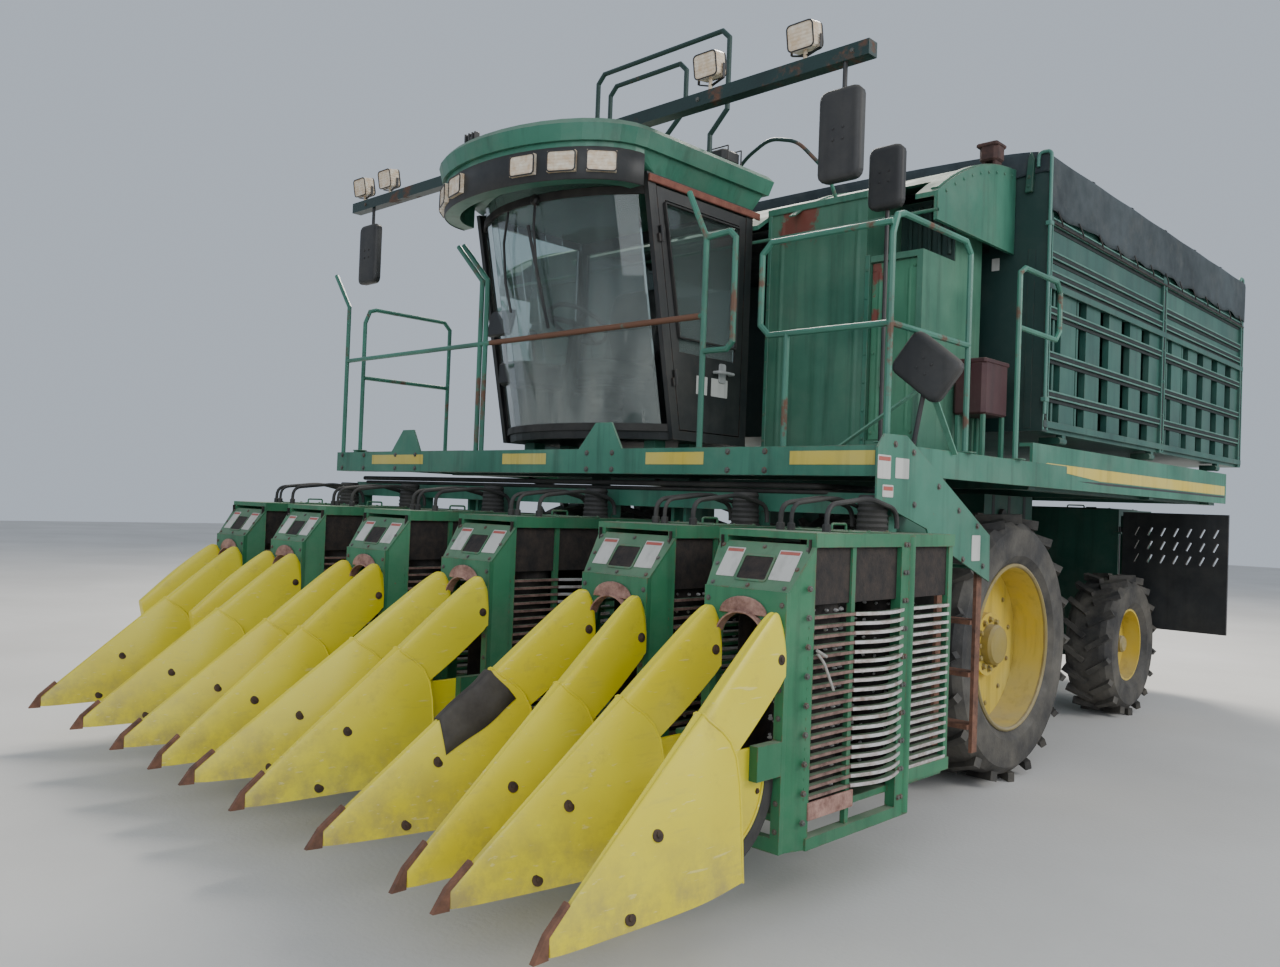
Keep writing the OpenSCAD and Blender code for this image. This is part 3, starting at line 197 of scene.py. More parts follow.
world = bpy.data.worlds.new("room")
bpy.context.scene.world = world
world.use_nodes = True
world.node_tree.nodes["Background"].inputs["Color"].default_value = (0.78, 0.87, 1.0, 1)
world.node_tree.nodes["Background"].inputs["Strength"].default_value = 0.62
# name, place, aim, size, watts, colour
LIGHTS = [
    ("key", (-7, 8, 13), (0, 0, 1.5), 6, 3600, (1.0, 0.95, 0.86)),
    ("fill", (9, -12, 7), (0, -1, 1.5), 12, 900, (0.93, 0.96, 1.0)),
    ("side", (14, 4, 8), (1, 0, 2), 7, 1100, (1.0, 0.98, 0.94)),
]
for name, place, aim, size, watts, colour in LIGHTS:
    lamp = bpy.data.objects.new(name, bpy.data.lights.new(name, "AREA"))
    lamp.data.size, lamp.data.energy, lamp.data.color = size, watts, colour
    lamp.location = place
    lamp.rotation_mode = "QUATERNION"
    lamp.rotation_quaternion = (Vector(aim) - Vector(place)).to_track_quat("-Z", "Y")
    bpy.context.scene.collection.objects.link(lamp)


# Chassis and axles. Welded steel beams, painted green at the works and never since; dust lies on
# what faces up, and the paint has chipped along the edges. Pipes and hoses run along the rails.
DUST = (0.34, 0.31, 0.25, 1)
RUST = (0.16, 0.07, 0.035, 1)


def weathered_paint(name, fresh, faded, dust=0.45, chips=0.5, rough=0.48, primer_or_shade=None):
    """Clouds between the fresh and the faded tone, dirt in streaks down the walls, dust on faces that look up,
    rust where the paint has chipped on edges and in spots, over a bump of shallow dents and fine grain. The last
    argument is ((lowest corner), (highest corner), colour) of a box tinted that colour with a ragged edge: red primer
    painted over by hand, or painted shade."""
    r = Recipe(name)
    tone = r.blend(r.ramp(r.noise(1.3, 6), 0.35, 0.68), fresh + (1,), faded + (1,))
    # the box: red primer on the left duct and its lid, painted shade over the basket's front wall
    if primer_or_shade:
        low, high, colour = primer_or_shade
        wobble = r.ramp(r.noise(6, 6, 0.7), 0.3, 0.7, -0.07, 0.07)
        inside = 1.0
        for axis, a, b in zip("XYZ", low, high):
            reach = r.add("Math",
                          {0: r.add("Math", {0: r.along(axis), 1: (a + b) / 2}, operation="SUBTRACT").outputs[0]},
                          operation="ABSOLUTE").outputs[0]
            reach = r.add("Math", {0: reach, 1: wobble}, operation="ADD").outputs[0]
            inside = r.times(inside, r.ramp(reach, (b - a) / 2, (b - a) / 2 - 0.03))
        tone = r.blend(inside, tone, colour)
    streaks = r.ramp(r.noise(1.0, 5, 0.6, (14, 14, 0.9)), 0.5, 0.72, 0.0, 0.5)
    tone = r.blend(streaks, tone, tuple(0.45 * c for c in fresh) + (1,))
    facing = r.add("SeparateXYZ", {0: r.place.outputs["Normal"]}).outputs["Z"]
    settled = r.times(r.ramp(facing, 0.25, 0.95, 0.0, dust), r.ramp(r.noise(5, 6), 0.3, 0.62, 0.35, 1.0))
    tone = r.blend(settled, tone, DUST)
    film = r.ramp(r.noise(2.2, 8, 0.7), 0.45, 0.75, 0.0, 0.3 * dust)
    tone = r.blend(film, tone, DUST)
    edge = r.add("Bevel", {"Radius": 0.012}, samples=4)
    worn = r.add("VectorMath", {0: edge.outputs[0], 1: r.add("NewGeometry").outputs["Normal"]},
                 operation="DOT_PRODUCT")
    worn = r.times(r.ramp(worn.outputs["Value"], 0.97, 0.82), r.ramp(r.noise(17, 5, 0.7), 0.47, 0.6, 0.0, chips))
    spots = r.ramp(r.noise(9, 8, 0.75), 0.665, 0.7, 0.0, chips)
    tone = r.blend(r.larger(worn, spots), tone, RUST)
    gloss = r.ramp(settled, 0.0, 0.5, rough, 0.85)
    relief = r.add("Math", {0: r.noise(2.3, 2), 1: r.times(r.noise(90, 3), 0.05)}, operation="ADD").outputs[0]
    return r.finish(tone, gloss, relief, 0.006)


def dress(material, *names):
    """Gives carried-over CAD nodes a finish in place of their packed one."""
    for name in names:
        nodes[name].data.materials.clear()
        nodes[name].data.materials.append(material)


green = weathered_paint("green_paint", (0.02, 0.125, 0.078), (0.06, 0.215, 0.145))
dark_green = weathered_paint("dark_green_paint", (0.01, 0.055, 0.038), (0.022, 0.09, 0.062))
black = weathered_paint("black_paint", (0.01, 0.011, 0.012), (0.022, 0.024, 0.026), dust=0.3, chips=0.25)
dress(green, "knuckle_left", "knuckle_right")
dress(dark_green, "main_frame", "front_axle", "rear_axle", "tanks")
dress(black, "engine_block")


def rounded_path(corners, bend, steps=5):
    """A path through corners, each inner one replaced by a curve that starts and ends bend away from it: at share s
    the point is (1-s)^2 of its start, 2s(1-s) of the corner and s^2 of its end."""
    corners = np.asarray(corners, float)
    ahead = np.diff(corners, axis=0)
    ahead /= np.linalg.norm(ahead, axis=1)[:, None]
    s = np.linspace(0, 1, steps)[None, :, None]
    inner = corners[1:-1, None]
    curve = (1 - s) ** 2 * (inner - bend * ahead[:-1,
                                                 None]) + 2 * s * (1 - s) * inner + s ** 2 * (inner + bend * ahead[1:,
            None])
    return np.concatenate([corners[:1], curve.reshape(-1, 3), corners[-1:]])


def carry(path, profile, level, closed=False):
    """A profile of (across, over) pairs carried along a path: at each point one axis is level, made square to the
    path, and the other is the path's direction crossed with it. The two ends are closed by flat faces."""
    path, profile = np.asarray(path, float), np.asarray(profile, float)
    way = np.roll(path, -1, 0) - np.roll(path, 1, 0) if closed else np.gradient(path, axis=0)
    way /= np.linalg.norm(way, axis=1)[:, None]
    across = np.asarray(level, float) - way * (way @ np.asarray(level, float))[:, None]
    across /= np.linalg.norm(across, axis=1)[:, None]
    over = np.cross(way, across)
    points = path[:, None] + profile[None, :, :1] * across[:, None] + profile[None, :, 1:] * over[:, None]
    return (points, lay_quads(len(path), len(profile), True, True)) if closed else stacked(points)


def ring(radius, sides=10):
    """A circle as a profile."""
    turn = 2 * np.pi * np.arange(sides) / sides
    return np.stack([radius * np.cos(turn), radius * np.sin(turn)], -1)


def tube(corners, bend, radius, level, sides=8, steps=5):
    """A round bar along a path with rounded corners."""
    return carry(rounded_path(corners, bend, steps), ring(radius, sides), level)


def bar(width, height, lip=0.15):
    """A rectangle with cut corners as a profile."""
    a, b, c = width / 2, height / 2, lip * min(width, height)
    return np.array([(a, -b + c), (a, b - c), (a - c, b), (-a + c, b), (-a, b - c), (-a, -b + c), (-a + c, -b),
                     (a - c, -b)])


def span(x0, z0, x1, z1):
    """The outline of a rectangle between two corners."""
    return [(x0, z0), (x1, z0), (x1, z1), (x0, z1)]


def dusty_rubber(name, base=(0.022, 0.022, 0.023), worn=0.75):
    r = Recipe(name)
    tone = r.blend(r.ramp(r.noise(3, 7, 0.65), 0.38, 0.7, 0.05, worn), base + (1,), (0.15, 0.135, 0.11, 1))
    return r.finish(tone, r.ramp(r.noise(7), 0.3, 0.7, 0.6, 0.9), r.noise(60, 4), 0.002)


rubber = dusty_rubber("black_rubber", worn=0.35)


def revolve(profile, centre, axis, sides=12):
    """A profile of (radius, height) pairs turned about an axis through centre: a ring of points for each pair, and
    flat faces over the first and the last."""
    profile, axis = np.asarray(profile, float), np.asarray(axis, float) / np.linalg.norm(axis)
    side = np.cross(axis, (0.31, 0.87, 0.38))
    side /= np.linalg.norm(side)
    turn = 2 * np.pi * np.arange(sides) / sides
    spokes = np.cos(turn)[:, None] * side + np.sin(turn)[:, None] * np.cross(axis, side)
    return stacked(np.asarray(centre, float) + profile[:, None, :1] * spokes + profile[:, None, 1:] * axis)


# straps round the two tanks, and a filler cap on each
tank_parts = []
for side in (1, -1):
    for y in (2.42, 2.725, 3.03):
        corners = [(side * 0.945 + x, y, z) for x, z in span(-0.306, 1.299, 0.306, 1.915)]
        strap = np.concatenate([np.linspace(corners[k], corners[(k + 1) % 4], 6)[:-1] for k in range(4)])
        tank_parts.append(carry(strap, bar(0.05, 0.004), BACK, closed=True))
    tank_parts.append(revolve([(0.055, 0), (0.055, 0.02), (0.048, 0.03), (0.02, 0.032)], (side * 1.2503, 2.57, 1.75),
                              (side, 0, 0), 20))
piece("tank_straps", tank_parts, black, smooth=35)
# pipes under the platform and along the frame's rails: for each, its corners and its radius
PIPES = [
    ([(-2.3, -1.36, 1.86), (2.05, -1.36, 1.86), (2.05, -0.6, 1.86)], 0.016),
    ([(-2.3, -1.335, 1.83), (2.1, -1.335, 1.83), (2.1, -0.6, 1.83)], 0.012),
    ([(-0.62, -1.05, 1.88), (-0.62, 0.7, 1.55), (-0.62, 4.6, 1.2)], 0.02),
    ([(0.62, -1.05, 1.88), (0.62, 0.7, 1.5), (0.62, 4.6, 1.22)], 0.02),
]
piece("pipes_under_platform", [tube(path, 0.06, radius, (0.36, 0, 0.93), 10) for path, radius in PIPES], rubber,
      smooth=True)


# Twin drive wheels and steered rear wheels. Rubber tyres on pressed steel rims, each held by a circle of nuts
# round its hub; the rims are yellow, with mud in their dish.
dress(dusty_rubber("tyre_rubber"), "front_tyres_left", "front_tyres_right", "rear_tyre_left", "rear_tyre_right")
rim_yellow = weathered_paint("rim_yellow", (0.6, 0.42, 0.03), (0.56, 0.46, 0.12), dust=0.6, chips=0.5)
dress(rim_yellow, "front_rims_left", "front_rims_right", "rear_rim_left", "rear_rim_right")


def studs(places, axis, radius, height):
    """The heads of bolts, all facing along one axis: a six-sided head on a round washer."""
    head = [(1.45 * radius, -0.1 * height), (1.45 * radius, 0.2 * height), (radius, 0.22 * height),
            (radius, 0.85 * height), (0.75 * radius, height)]
    return joined(*[revolve(head, place, axis, 6) for place in places])


def around(centre, radius, count, phase=0.0):
    """Places on a circle in the YZ plane."""
    turn = 2 * np.pi * np.arange(count) / count + phase
    return np.stack([np.full(count, centre[0]), centre[1] + radius * np.cos(turn), centre[2] + radius * np.sin(turn)],
                    -1)


wheel_steel = weathered_paint("wheel_nuts", (0.3, 0.22, 0.03), (0.26, 0.22, 0.12), dust=0.6, chips=0.9)
for side, name in ((1, "left"), (-1, "right")):
    out = (side, 0, 0)
    hub = (side * 2.0, 0.8, 0.88)
    piece(f"drive_wheel_nuts_{name}", [
        studs(around(hub, 0.165, 12), out, 0.017, 0.022),
        studs(around((side * 1.94, 0.8, 0.88), 0.42, 12, 0.2), out, 0.014, 0.012),
        revolve([(0.135, -0.004), (0.135, 0.05), (0.12, 0.07), (0.05, 0.08), (0.02, 0.08)], hub, out, 32),
        carry(around((side * 2.157, 0.8, 0.88), 0.538, 72), bar(0.03, 0.026, 0.35), out, closed=True)],
        wheel_steel, f"front_wheels_{name}", smooth=35)
    hub = (side * 1.75, 3.95, 0.63)
    piece(f"steered_wheel_nuts_{name}", [
        studs(around((side * 1.7, 3.95, 0.63), 0.15, 8), out, 0.014, 0.016),
        revolve([(0.075, -0.004), (0.075, 0.05), (0.06, 0.065), (0.02, 0.07)], hub, out, 24)],
        wheel_steel, f"rear_wheel_{name}", smooth=35)


# Platform. A folded front beam over the picking units, its deck and its side beams, welded and bolted, with lengths
# of yellow stripe on the beam. Blank plates are fixed to the steps' plate at its left end.
dress(green, "platform", "boarding_steps")


def outset(outline, by):
    """An outline moved outwards: each corner goes along the sum of its edges' normals, further where it is sharp."""
    outline = np.asarray(outline, float)
    edge = np.roll(outline, -1, 0) - outline
    area = np.sum(outline[:, 0] * np.roll(outline, -1, 0)[:, 1] - np.roll(outline, -1, 0)[:, 0] * outline[:, 1])
    normal = np.stack([edge[:, 1], -edge[:, 0]], -1) * np.sign(area) / np.linalg.norm(edge, axis=1)[:, None]
    turn = normal + np.roll(normal, 1, 0)
    return outline + by * 2 * turn / np.maximum(np.sum(turn * turn, 1), 0.6)[:, None]


def lifted(outlines, depths, origin, plane):
    """Outlines drawn in a plane of (u, v) from an origin, each one at its own depth along u crossed with v."""
    u, v = (np.asarray(axis, float) / np.linalg.norm(axis) for axis in plane)
    w = np.cross(u, v)
    rings = np.stack(outlines)
    return (np.asarray(origin, float) + rings[..., :1] * u + rings[..., 1:] * v
            + np.array(depths)[:, None, None] * w / np.linalg.norm(w))


def slab(outline, origin, plane, thick, lip=0.002):
    """A plate: an outline in a plane, and thick across it. Its rim is the outline drawn in by lip at both faces, so
    that light catches the edge."""
    inner = outset(outline, -lip)
    return stacked(lifted([inner, outline, outline, inner], [0, lip, thick - lip, thick], origin, plane))


def rounded(width, height, radius, steps=4):
    """A rectangle round its middle with quarter circles for corners."""
    turn = np.linspace(0, np.pi / 2, steps)
    corners = []
    for quarter, (a, b) in enumerate(span(1, 1, -1, -1)):
        angle = turn + quarter * np.pi / 2
        corners.append(np.stack([a * (width / 2 - radius) + radius * np.cos(angle),
                                 b * (height / 2 - radius) + radius * np.sin(angle)], -1))
    return np.concatenate(corners)


def tile(width, height, radius, origin, plane, thick, lip=0.002):
    """A plate with rounded corners round its origin."""
    return slab(rounded(width, height, radius), origin, plane, thick, lip)


def block(x0, y0, z0, x1, y1, z1, lip=0.002):
    """A block with broken edges between two corners."""
    return slab(rounded(x1 - x0, y1 - y0, 2 * lip, 2), ((x0 + x1) / 2, (y0 + y1) / 2, z0), TOP, z1 - z0, lip)


def blocks(*rows):
    return [block(*row) for row in rows]


stripe_yellow = weathered_paint("stripe_yellow", (0.62, 0.46, 0.04), (0.58, 0.5, 0.16), dust=0.15, chips=0.4)
plate_white = weathered_paint("blank_plates", (0.5, 0.5, 0.47), (0.62, 0.61, 0.57), dust=0.3, chips=0.25, rough=0.4)
plate_red = weathered_paint("plate_heads", (0.4, 0.05, 0.04), (0.45, 0.12, 0.09), dust=0.3, chips=0.3)
bolt_steel = weathered_paint("bolt_heads", (0.045, 0.055, 0.05), (0.11, 0.11, 0.1), dust=0.4, chips=0.8)
# where the sheets' outer faces stand, with room for the film of a sticker: side panels, steps' plate, deck
PANEL_X, STEPS_X, DECK_Z = 2.2953, 2.5105, 2.0605
# thickness and lip of a stripe, and of a thin sheet
FILM, THIN = (0.0014, 0.0005), (0.0022, 0.0006)
# stripe lengths on the beam: start and end along X
stripes = [slab(span(x0, 1.965, x1, 2.035), (0, -1.5002, 0), WALL, *FILM)
           for x0, x1 in ((0.94, 1.38), (1.96, 2.46), (-0.38, 0.06), (-1.98, -1.3))]
# on the side panels the stripe starts as a wedge and runs to the rear, over a thin black line
SIDE_STRIPE = [(0.8, 2.075), (1.9, 2.02), (5.13, 2.02), (5.13, 2.105), (0.95, 2.105)]
SIDE_LINE = [(1.5, 2.004), (1.9, 1.995), (5.13, 1.995), (5.13, 2.011), (1.9, 2.011)]
lines = []
for side in (1, -1):
    stripes.append(slab(SIDE_STRIPE, (side * PANEL_X, 0, 0), SIDE, *FILM))
    lines.append(slab(SIDE_LINE, (side * PANEL_X, 0, 0), SIDE, *FILM))
piece("yellow_stripes", stripes, stripe_yellow)
piece("black_lines", lines, black)

# blank plates: middle, width and height on the steps' plate, and whether it has a red head strip
SIDE_PLATES = [((-1.5, 1.955), 0.12, 0.115, True), ((-1.33, 1.955), 0.13, 0.1, False),
               ((-1.46, 1.84), 0.1, 0.06, True), ((-0.51, 1.56), 0.1, 0.14, False)]
whites, reds = [], []
for (y, z), wide, tall, head in SIDE_PLATES:
    whites.append(tile(wide, tall, 0.006, (STEPS_X, y, z), SIDE, *THIN))
    if head:
        reds.append(tile(wide - 0.012, 0.02, 0.003, (STEPS_X + 0.002, y, z + tall / 2 - 0.018), SIDE, *FILM))
piece("side_plates", whites, plate_white)
piece("side_plate_heads", reds, plate_red)
deck_bolts = [(x, -1.5, z) for x in (-2.42, -2.1, -1.66, -1.4, 0.44, 0.66, 1.55, 1.8) for z in (1.935, 2.035)]
end_bolts = [(2.51, y, z) for y, z in ((-1.4, 2.07), (-1.22, 2.04), (-1.2, 1.78), (-0.95, 1.88), (-0.72, 1.76),
                                      (-0.5, 1.68), (-0.42, 1.46), (-0.66, 1.5), (-0.88, 1.62))]
piece("platform_bolts", [studs(deck_bolts, FRONT, 0.013, 0.01), studs(end_bolts, LEFT, 0.013, 0.01)],
      bolt_steel)
# raised tread of the deck, by the steps on the left and along the walkway on the right: ribs over long bars
tread = [block(x0, y, 2.0615, x1, y + 0.018, 2.078) for x0, x1 in ((2.02, 2.38), (-2.38, -1.1))
         for y in np.arange(-1.28, -0.56, 0.036)]
tread += [block(x, -1.29, DECK_Z, x + 0.012, -0.56, 2.074) for x in (2.01, 2.14, 2.26, 2.38,
                                                                     *np.linspace(-2.39, -1.1, 8))]
piece("deck_tread", tread, dark_green)


# Guard rails and boarding steps. Bent tube, welded; the long front rail and the posts have lost paint where
# hands and boots rub them.
def rubbed_tube(name, paint, bare, share=0.5, dark_over=None):
    """Painted tube with its bare share worn through; above the height dark_over it is dark."""
    r = Recipe(name)
    tone = r.blend(r.ramp(r.noise(2.0, 6), 0.35, 0.68), paint + (1,), tuple(1.6 * c for c in paint) + (1,))
    if dark_over:
        tone = r.blend(r.ramp(r.along("Z"), dark_over - 0.03, dark_over + 0.03), tone, (0.012, 0.04, 0.032, 1))
    rubbed = r.ramp(r.noise(2.6, 7, 0.7), 0.6 - 0.2 * share, 0.66 - 0.2 * share)
    tone = r.blend(rubbed, tone, r.blend(r.noise(30, 5), bare + (1,), RUST))
    return r.finish(tone, r.ramp(rubbed, 0, 1, 0.42, 0.8), r.noise(80, 4), 0.001)


rail_green = rubbed_tube("rail_green", (0.035, 0.13, 0.09), (0.1, 0.075, 0.06), 0.18, dark_over=4.0)
dress(rail_green, "guard_rails")


def rusty_iron(name, base=(0.09, 0.045, 0.03), bright=(0.22, 0.1, 0.06)):
    r = Recipe(name)
    tone = r.blend(r.ramp(r.noise(14, 8, 0.7), 0.35, 0.65), base + (1,), bright + (1,))
    return r.finish(tone, 0.8, r.noise(70, 5), 0.002)


rust = rusty_iron("rusty_iron")
dress(rust, "folding_steps", "tip_irons")
# the long rail's middle is worn to brown iron: a sleeve over it
rail_wear = rubbed_tube("worn_rail", (0.05, 0.09, 0.07), (0.13, 0.065, 0.045), 1.3)
piece("worn_front_rail", carry([(-0.58, -1.482, 2.8), (0.35, -1.482, 2.8), (1.3, -1.482, 2.8)], ring(0.0185, 12),
                                    BACK), rail_wear, smooth=60)
# welded feet of the side rails' posts
piece("rail_feet", [tile(0.11, 0.075, 0.012, (x, y, 2.0805), TOP, 0.008) for x in (2.425, -2.425)
                    for y in (-1.34, -0.5, 0.15)], green)


# Cab. A black welded frame with a bowed, forward-leaning windscreen, a glazed door on the left, and a green
# moulded roof whose front band carries six lamps. Inside: a sprung seat, steering column and side console.
dress(black, "cab_frame", "cab_door")
roof_green = weathered_paint("roof_green", (0.02, 0.125, 0.078), (0.05, 0.19, 0.125), dust=0.5, chips=0.15, rough=0.4)
dress(roof_green, "cab_roof")
CAB_X, CAB_HALF, CAB_Z0, CAB_Z1 = -0.15, 0.85, 2.15, 3.78
CAB_SIDE, LEAN, BOW = -0.93, 0.33, 0.33
DOOR_X, ROOF_Z = 0.7005, 4.0365


def on_screen(x, z, out=0.0):
    """A point of the windscreen at a distance x left of the cab's middle and height z: an arc of rise BOW over the
    cab's width, carried forward by LEAN over the cab's height; out is how far it stands before the glass."""
    x, z = np.asarray(x, float), np.asarray(z, float)
    radius = (CAB_HALF ** 2 + BOW ** 2) / (2 * BOW)
    y = CAB_SIDE - LEAN * (z - CAB_Z0) / (CAB_Z1 - CAB_Z0) - (np.sqrt(radius ** 2 - x ** 2) - radius + BOW)
    return np.stack([CAB_X + x + out * x / radius, y - out, z + 0 * x], -1)


def dirty_glass(name, dirt, low, high):
    """Tinted glass with a film of dust that thickens from height high down to height low and runs down in streaks."""
    r = Recipe(name)
    film = r.ramp(r.along("Z"), low, high, 1.0, 0.12)
    streaks = r.larger(r.ramp(r.noise(2.0, 4, 0.55, (3.0, 3.0, 0.6)), 0.36, 0.75, 0.1, dirt),
                       r.ramp(r.noise(9.0, 3, 0.5, (1.6, 1.6, 0.12)), 0.6, 0.72, 0.0, dirt))
    grime = r.times(film, streaks)
    tone = r.blend(grime, (0.66, 0.76, 0.75, 1), (0.46, 0.4, 0.3, 1))
    return r.finish(tone, r.ramp(grime, 0.1, 0.7, 0.015, 0.3),
                    Transmission_Weight=r.ramp(grime, 0.0, 0.8, 0.97, 0.45), IOR=1.45)


screen_glass = dirty_glass("windscreen_glass", 0.5, 2.25, 3.3)
side_glass = dirty_glass("side_glass", 0.15, 2.7, 3.5)
dress(screen_glass, "windscreen")
dress(side_glass, "cab_glass", "door_glass")
seal = dusty_rubber("window_seals", (0.012, 0.012, 0.013), worn=0.25)
across = np.linspace(-0.8, 0.8, 15)
seals = [carry(on_screen(across, z, 0.004), bar(0.05, 0.016), UP) for z in (2.225, 3.68)]
seals += [carry(on_screen(np.full(6, x), np.linspace(2.215, 3.7, 6), 0.004), bar(0.045, 0.016),
                (1, 0.5 * np.sign(x), 0)) for x in (-0.825, 0.825)]
# wipers: the blade, its arm, and the second arm parked beside them; the first one's motor cap is at the top
blade = on_screen(np.linspace(0.02, 0.1, 8), np.linspace(3.52, 2.86, 8), 0.03)
wiper_arm = on_screen([0.1, 0.09, 0.07], [3.66, 3.5, 3.2], np.array([0.02, 0.05, 0.05]))
parked_arm = on_screen([-0.16, -0.26, -0.3, -0.27], [3.64, 3.45, 3.2, 3.0], 0.035)
fittings = [carry(blade, bar(0.022, 0.012), LEFT), carry(wiper_arm, bar(0.018, 0.01), LEFT),
            carry(parked_arm, ring(0.009), LEFT),
            revolve([(0.035, 0), (0.035, 0.03), (0.022, 0.045), (0.01, 0.045)], on_screen(0.1, 3.67), FRONT, 16)]
# door: seal round its glass, handle, and the rubber gutter under the roof
door_line = [(0.7085, -0.985, 2.8), (0.7085, -1.165, 3.62), (0.7085, -0.415, 3.62), (0.7085, -0.415, 2.8)]
gutter = slab(span(-1.32, 3.722, -0.2, 3.768), (DOOR_X, 0, 0), SIDE, 0.018, 0.004)
piece("cab_seals", seals, seal, smooth=40)
piece("cab_wipers", fittings, black, smooth=40)
piece("cab_gutter", gutter, rusty_iron("oxide_rubber", (0.16, 0.05, 0.035), (0.24, 0.09, 0.06)))
piece("door_seal", [carry([door_line[k], door_line[(k + 1) % 4]], bar(0.022, 0.012), LEFT) for k in range(4)],
      seal, "cab_door")
grip = [(0.7, -0.46, 2.62), (0.745, -0.46, 2.62), (0.745, -0.62, 2.62), (0.7, -0.62, 2.62)]
handle = tube(grip, 0.02, 0.011, UP, 10)
piece("door_handle", [handle, tile(0.07, 0.13, 0.015, (DOOR_X, -0.54, 2.62), SIDE, 0.01)],
      weathered_paint("bare_alloy", (0.35, 0.36, 0.35), (0.5, 0.5, 0.49), dust=0.2, chips=0.1, rough=0.35),
      "cab_door")
piece("door_papers", [tile(wide, 0.12, 0.004, (DOOR_X, y, 2.52), SIDE, 0.002, 0.0006)
                      for y, wide in ((-0.56, 0.17), (-0.74, 0.11))], plate_white, "cab_door")

# inside: cushions are padded vinyl over foam on a sprung base with a rubber bellows
vinyl = Recipe("seat_vinyl")
vinyl_tone = vinyl.blend(vinyl.ramp(vinyl.noise(8, 6), 0.35, 0.7), (0.03, 0.03, 0.032, 1), (0.075, 0.07, 0.065, 1))
vinyl = vinyl.finish(vinyl_tone, vinyl.ramp(vinyl.noise(20), 0.3, 0.7, 0.45, 0.7), vinyl.noise(220, 2), 0.0008)


def cushion(middle, size, tilt=0.0):
    """A crowned closed form: a ball whose sines and cosines are raised to a power under one, so that it fills its
    box with round edges; a shallow channel runs across at each third of its depth. tilt turns it about X."""
    rows, columns = 22, 32

    def swell(wave):
        return np.sign(wave) * np.abs(wave) ** 0.32
    rise = np.linspace(-np.pi / 2, np.pi / 2, rows)[:, None]
    turn = 2 * np.pi * np.arange(columns)[None, :] / columns
    x = swell(np.cos(rise)) * swell(np.cos(turn))
    y = swell(np.cos(rise)) * swell(np.sin(turn))
    crown = 1 + 0.16 * (1 - x ** 2) * (1 - y ** 2)
    channel = 0.05 * np.exp(-((np.abs(y) - 0.36) / 0.05) ** 2) * (np.sin(rise) > 0)
    z = swell(np.sin(rise)) * crown - channel
    points = np.stack([x, y, z + 0 * turn], -1) * np.asarray(size) / 2 * (1, 1, 0.87)
    c, s = math.cos(tilt), math.sin(tilt)
    return stacked(points @ np.array([[1, 0, 0], [0, c, s], [0, -s, c]]) + middle)


bellows = [revolve([(0.1 + 0.02 * (k % 2), 0), (0.12 - 0.02 * (k % 2), 0.03)], (CAB_X, -0.76, 2.215 + 0.03 * k), UP,
                   24) for k in range(11)]
piece("seat_base", [*bellows, block(CAB_X - 0.2, -0.93, 2.545, CAB_X + 0.2, -0.58, 2.6, 0.008)], seal, smooth=40)
seat_pad = piece("seat_cushion", cushion((CAB_X, -0.775, 2.655), (0.53, 0.5, 0.13)), vinyl, smooth=True)
seat_back = piece("seat_backrest", cushion((CAB_X, -0.5, 3.0), (0.49, 0.56, 0.13), math.radians(78)), vinyl,
                  smooth=True)
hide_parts("cab_seat")
dress(seal, "steering_column")
console_x, lever_x, box_x = CAB_X - 0.72, CAB_X - 0.5, CAB_X - 0.6
console = blocks((console_x, -1.2, 2.55, console_x + 0.3, -0.45, 2.72, 0.02),
                 (console_x + 0.02, -0.98, 2.215, console_x + 0.26, -0.5, 2.55, 0.02))
console += [carry([(lever_x, -1.02, 2.72), (lever_x, -1.04, 2.86), (lever_x, -1.05, 2.9)], ring(0.012), LEFT),
            revolve([(0.012, 0), (0.03, 0.02), (0.032, 0.06), (0.012, 0.08)], (lever_x, -1.05, 2.88), UP, 16),
            tile(0.26, 0.19, 0.02, (box_x, -1.24, 2.98), (LEFT, (0, 0.25, 1)), 0.035, 0.006),
            carry([(box_x, -1.2, 2.7), (box_x, -1.22, 2.92)], ring(0.014), LEFT)]
piece("cab_console", console, black, smooth=40)


# Lamps. Six boxes set in the roof's front band and four on the light bar: pressed housings with a ribbed,
# yellowed lens in a black bezel. The bar is a box section with its paint gone along the top.
lens = Recipe("lamp_lens")
ribs = lens.add("TexWave", {"Vector": lens.place.outputs["Object"], "Scale": 16.0, "Distortion": 0.3},
                bands_direction="Z").outputs["Fac"]
lens_tone = lens.blend(lens.ramp(lens.noise(25, 5), 0.35, 0.7), (0.62, 0.46, 0.3, 1), (0.8, 0.72, 0.58, 1))
lens_glass = lens.finish(lens_tone, 0.22, ribs, 0.002)
dress(lens_glass, "work_lamps")
bar_paint = rubbed_tube("light_bar_paint", (0.007, 0.022, 0.02), (0.035, 0.026, 0.023), 0.3)
dress(bar_paint, "light_bar")


def frame_of(width, height, radius, band, depth, origin, plane):
    """A bezel: a band wide ring of rounded rectangles, from its inner edge over its face to its outer edge."""
    inner, outer = rounded(width, height, radius), outset(rounded(width, height, radius), band)
    points = lifted([inner, inner, outset(inner, 0.2 * band), outer, outer],
                    [0, 0.9 * depth, depth, 0.7 * depth, 0], origin, plane)
    return points, lay_quads(5, len(inner), around=True, along=True)


# the roof's front band is half an ellipse: half widths, middle along Y
BAND_A, BAND_B, BAND_Y = 0.89, 0.51, -1.4
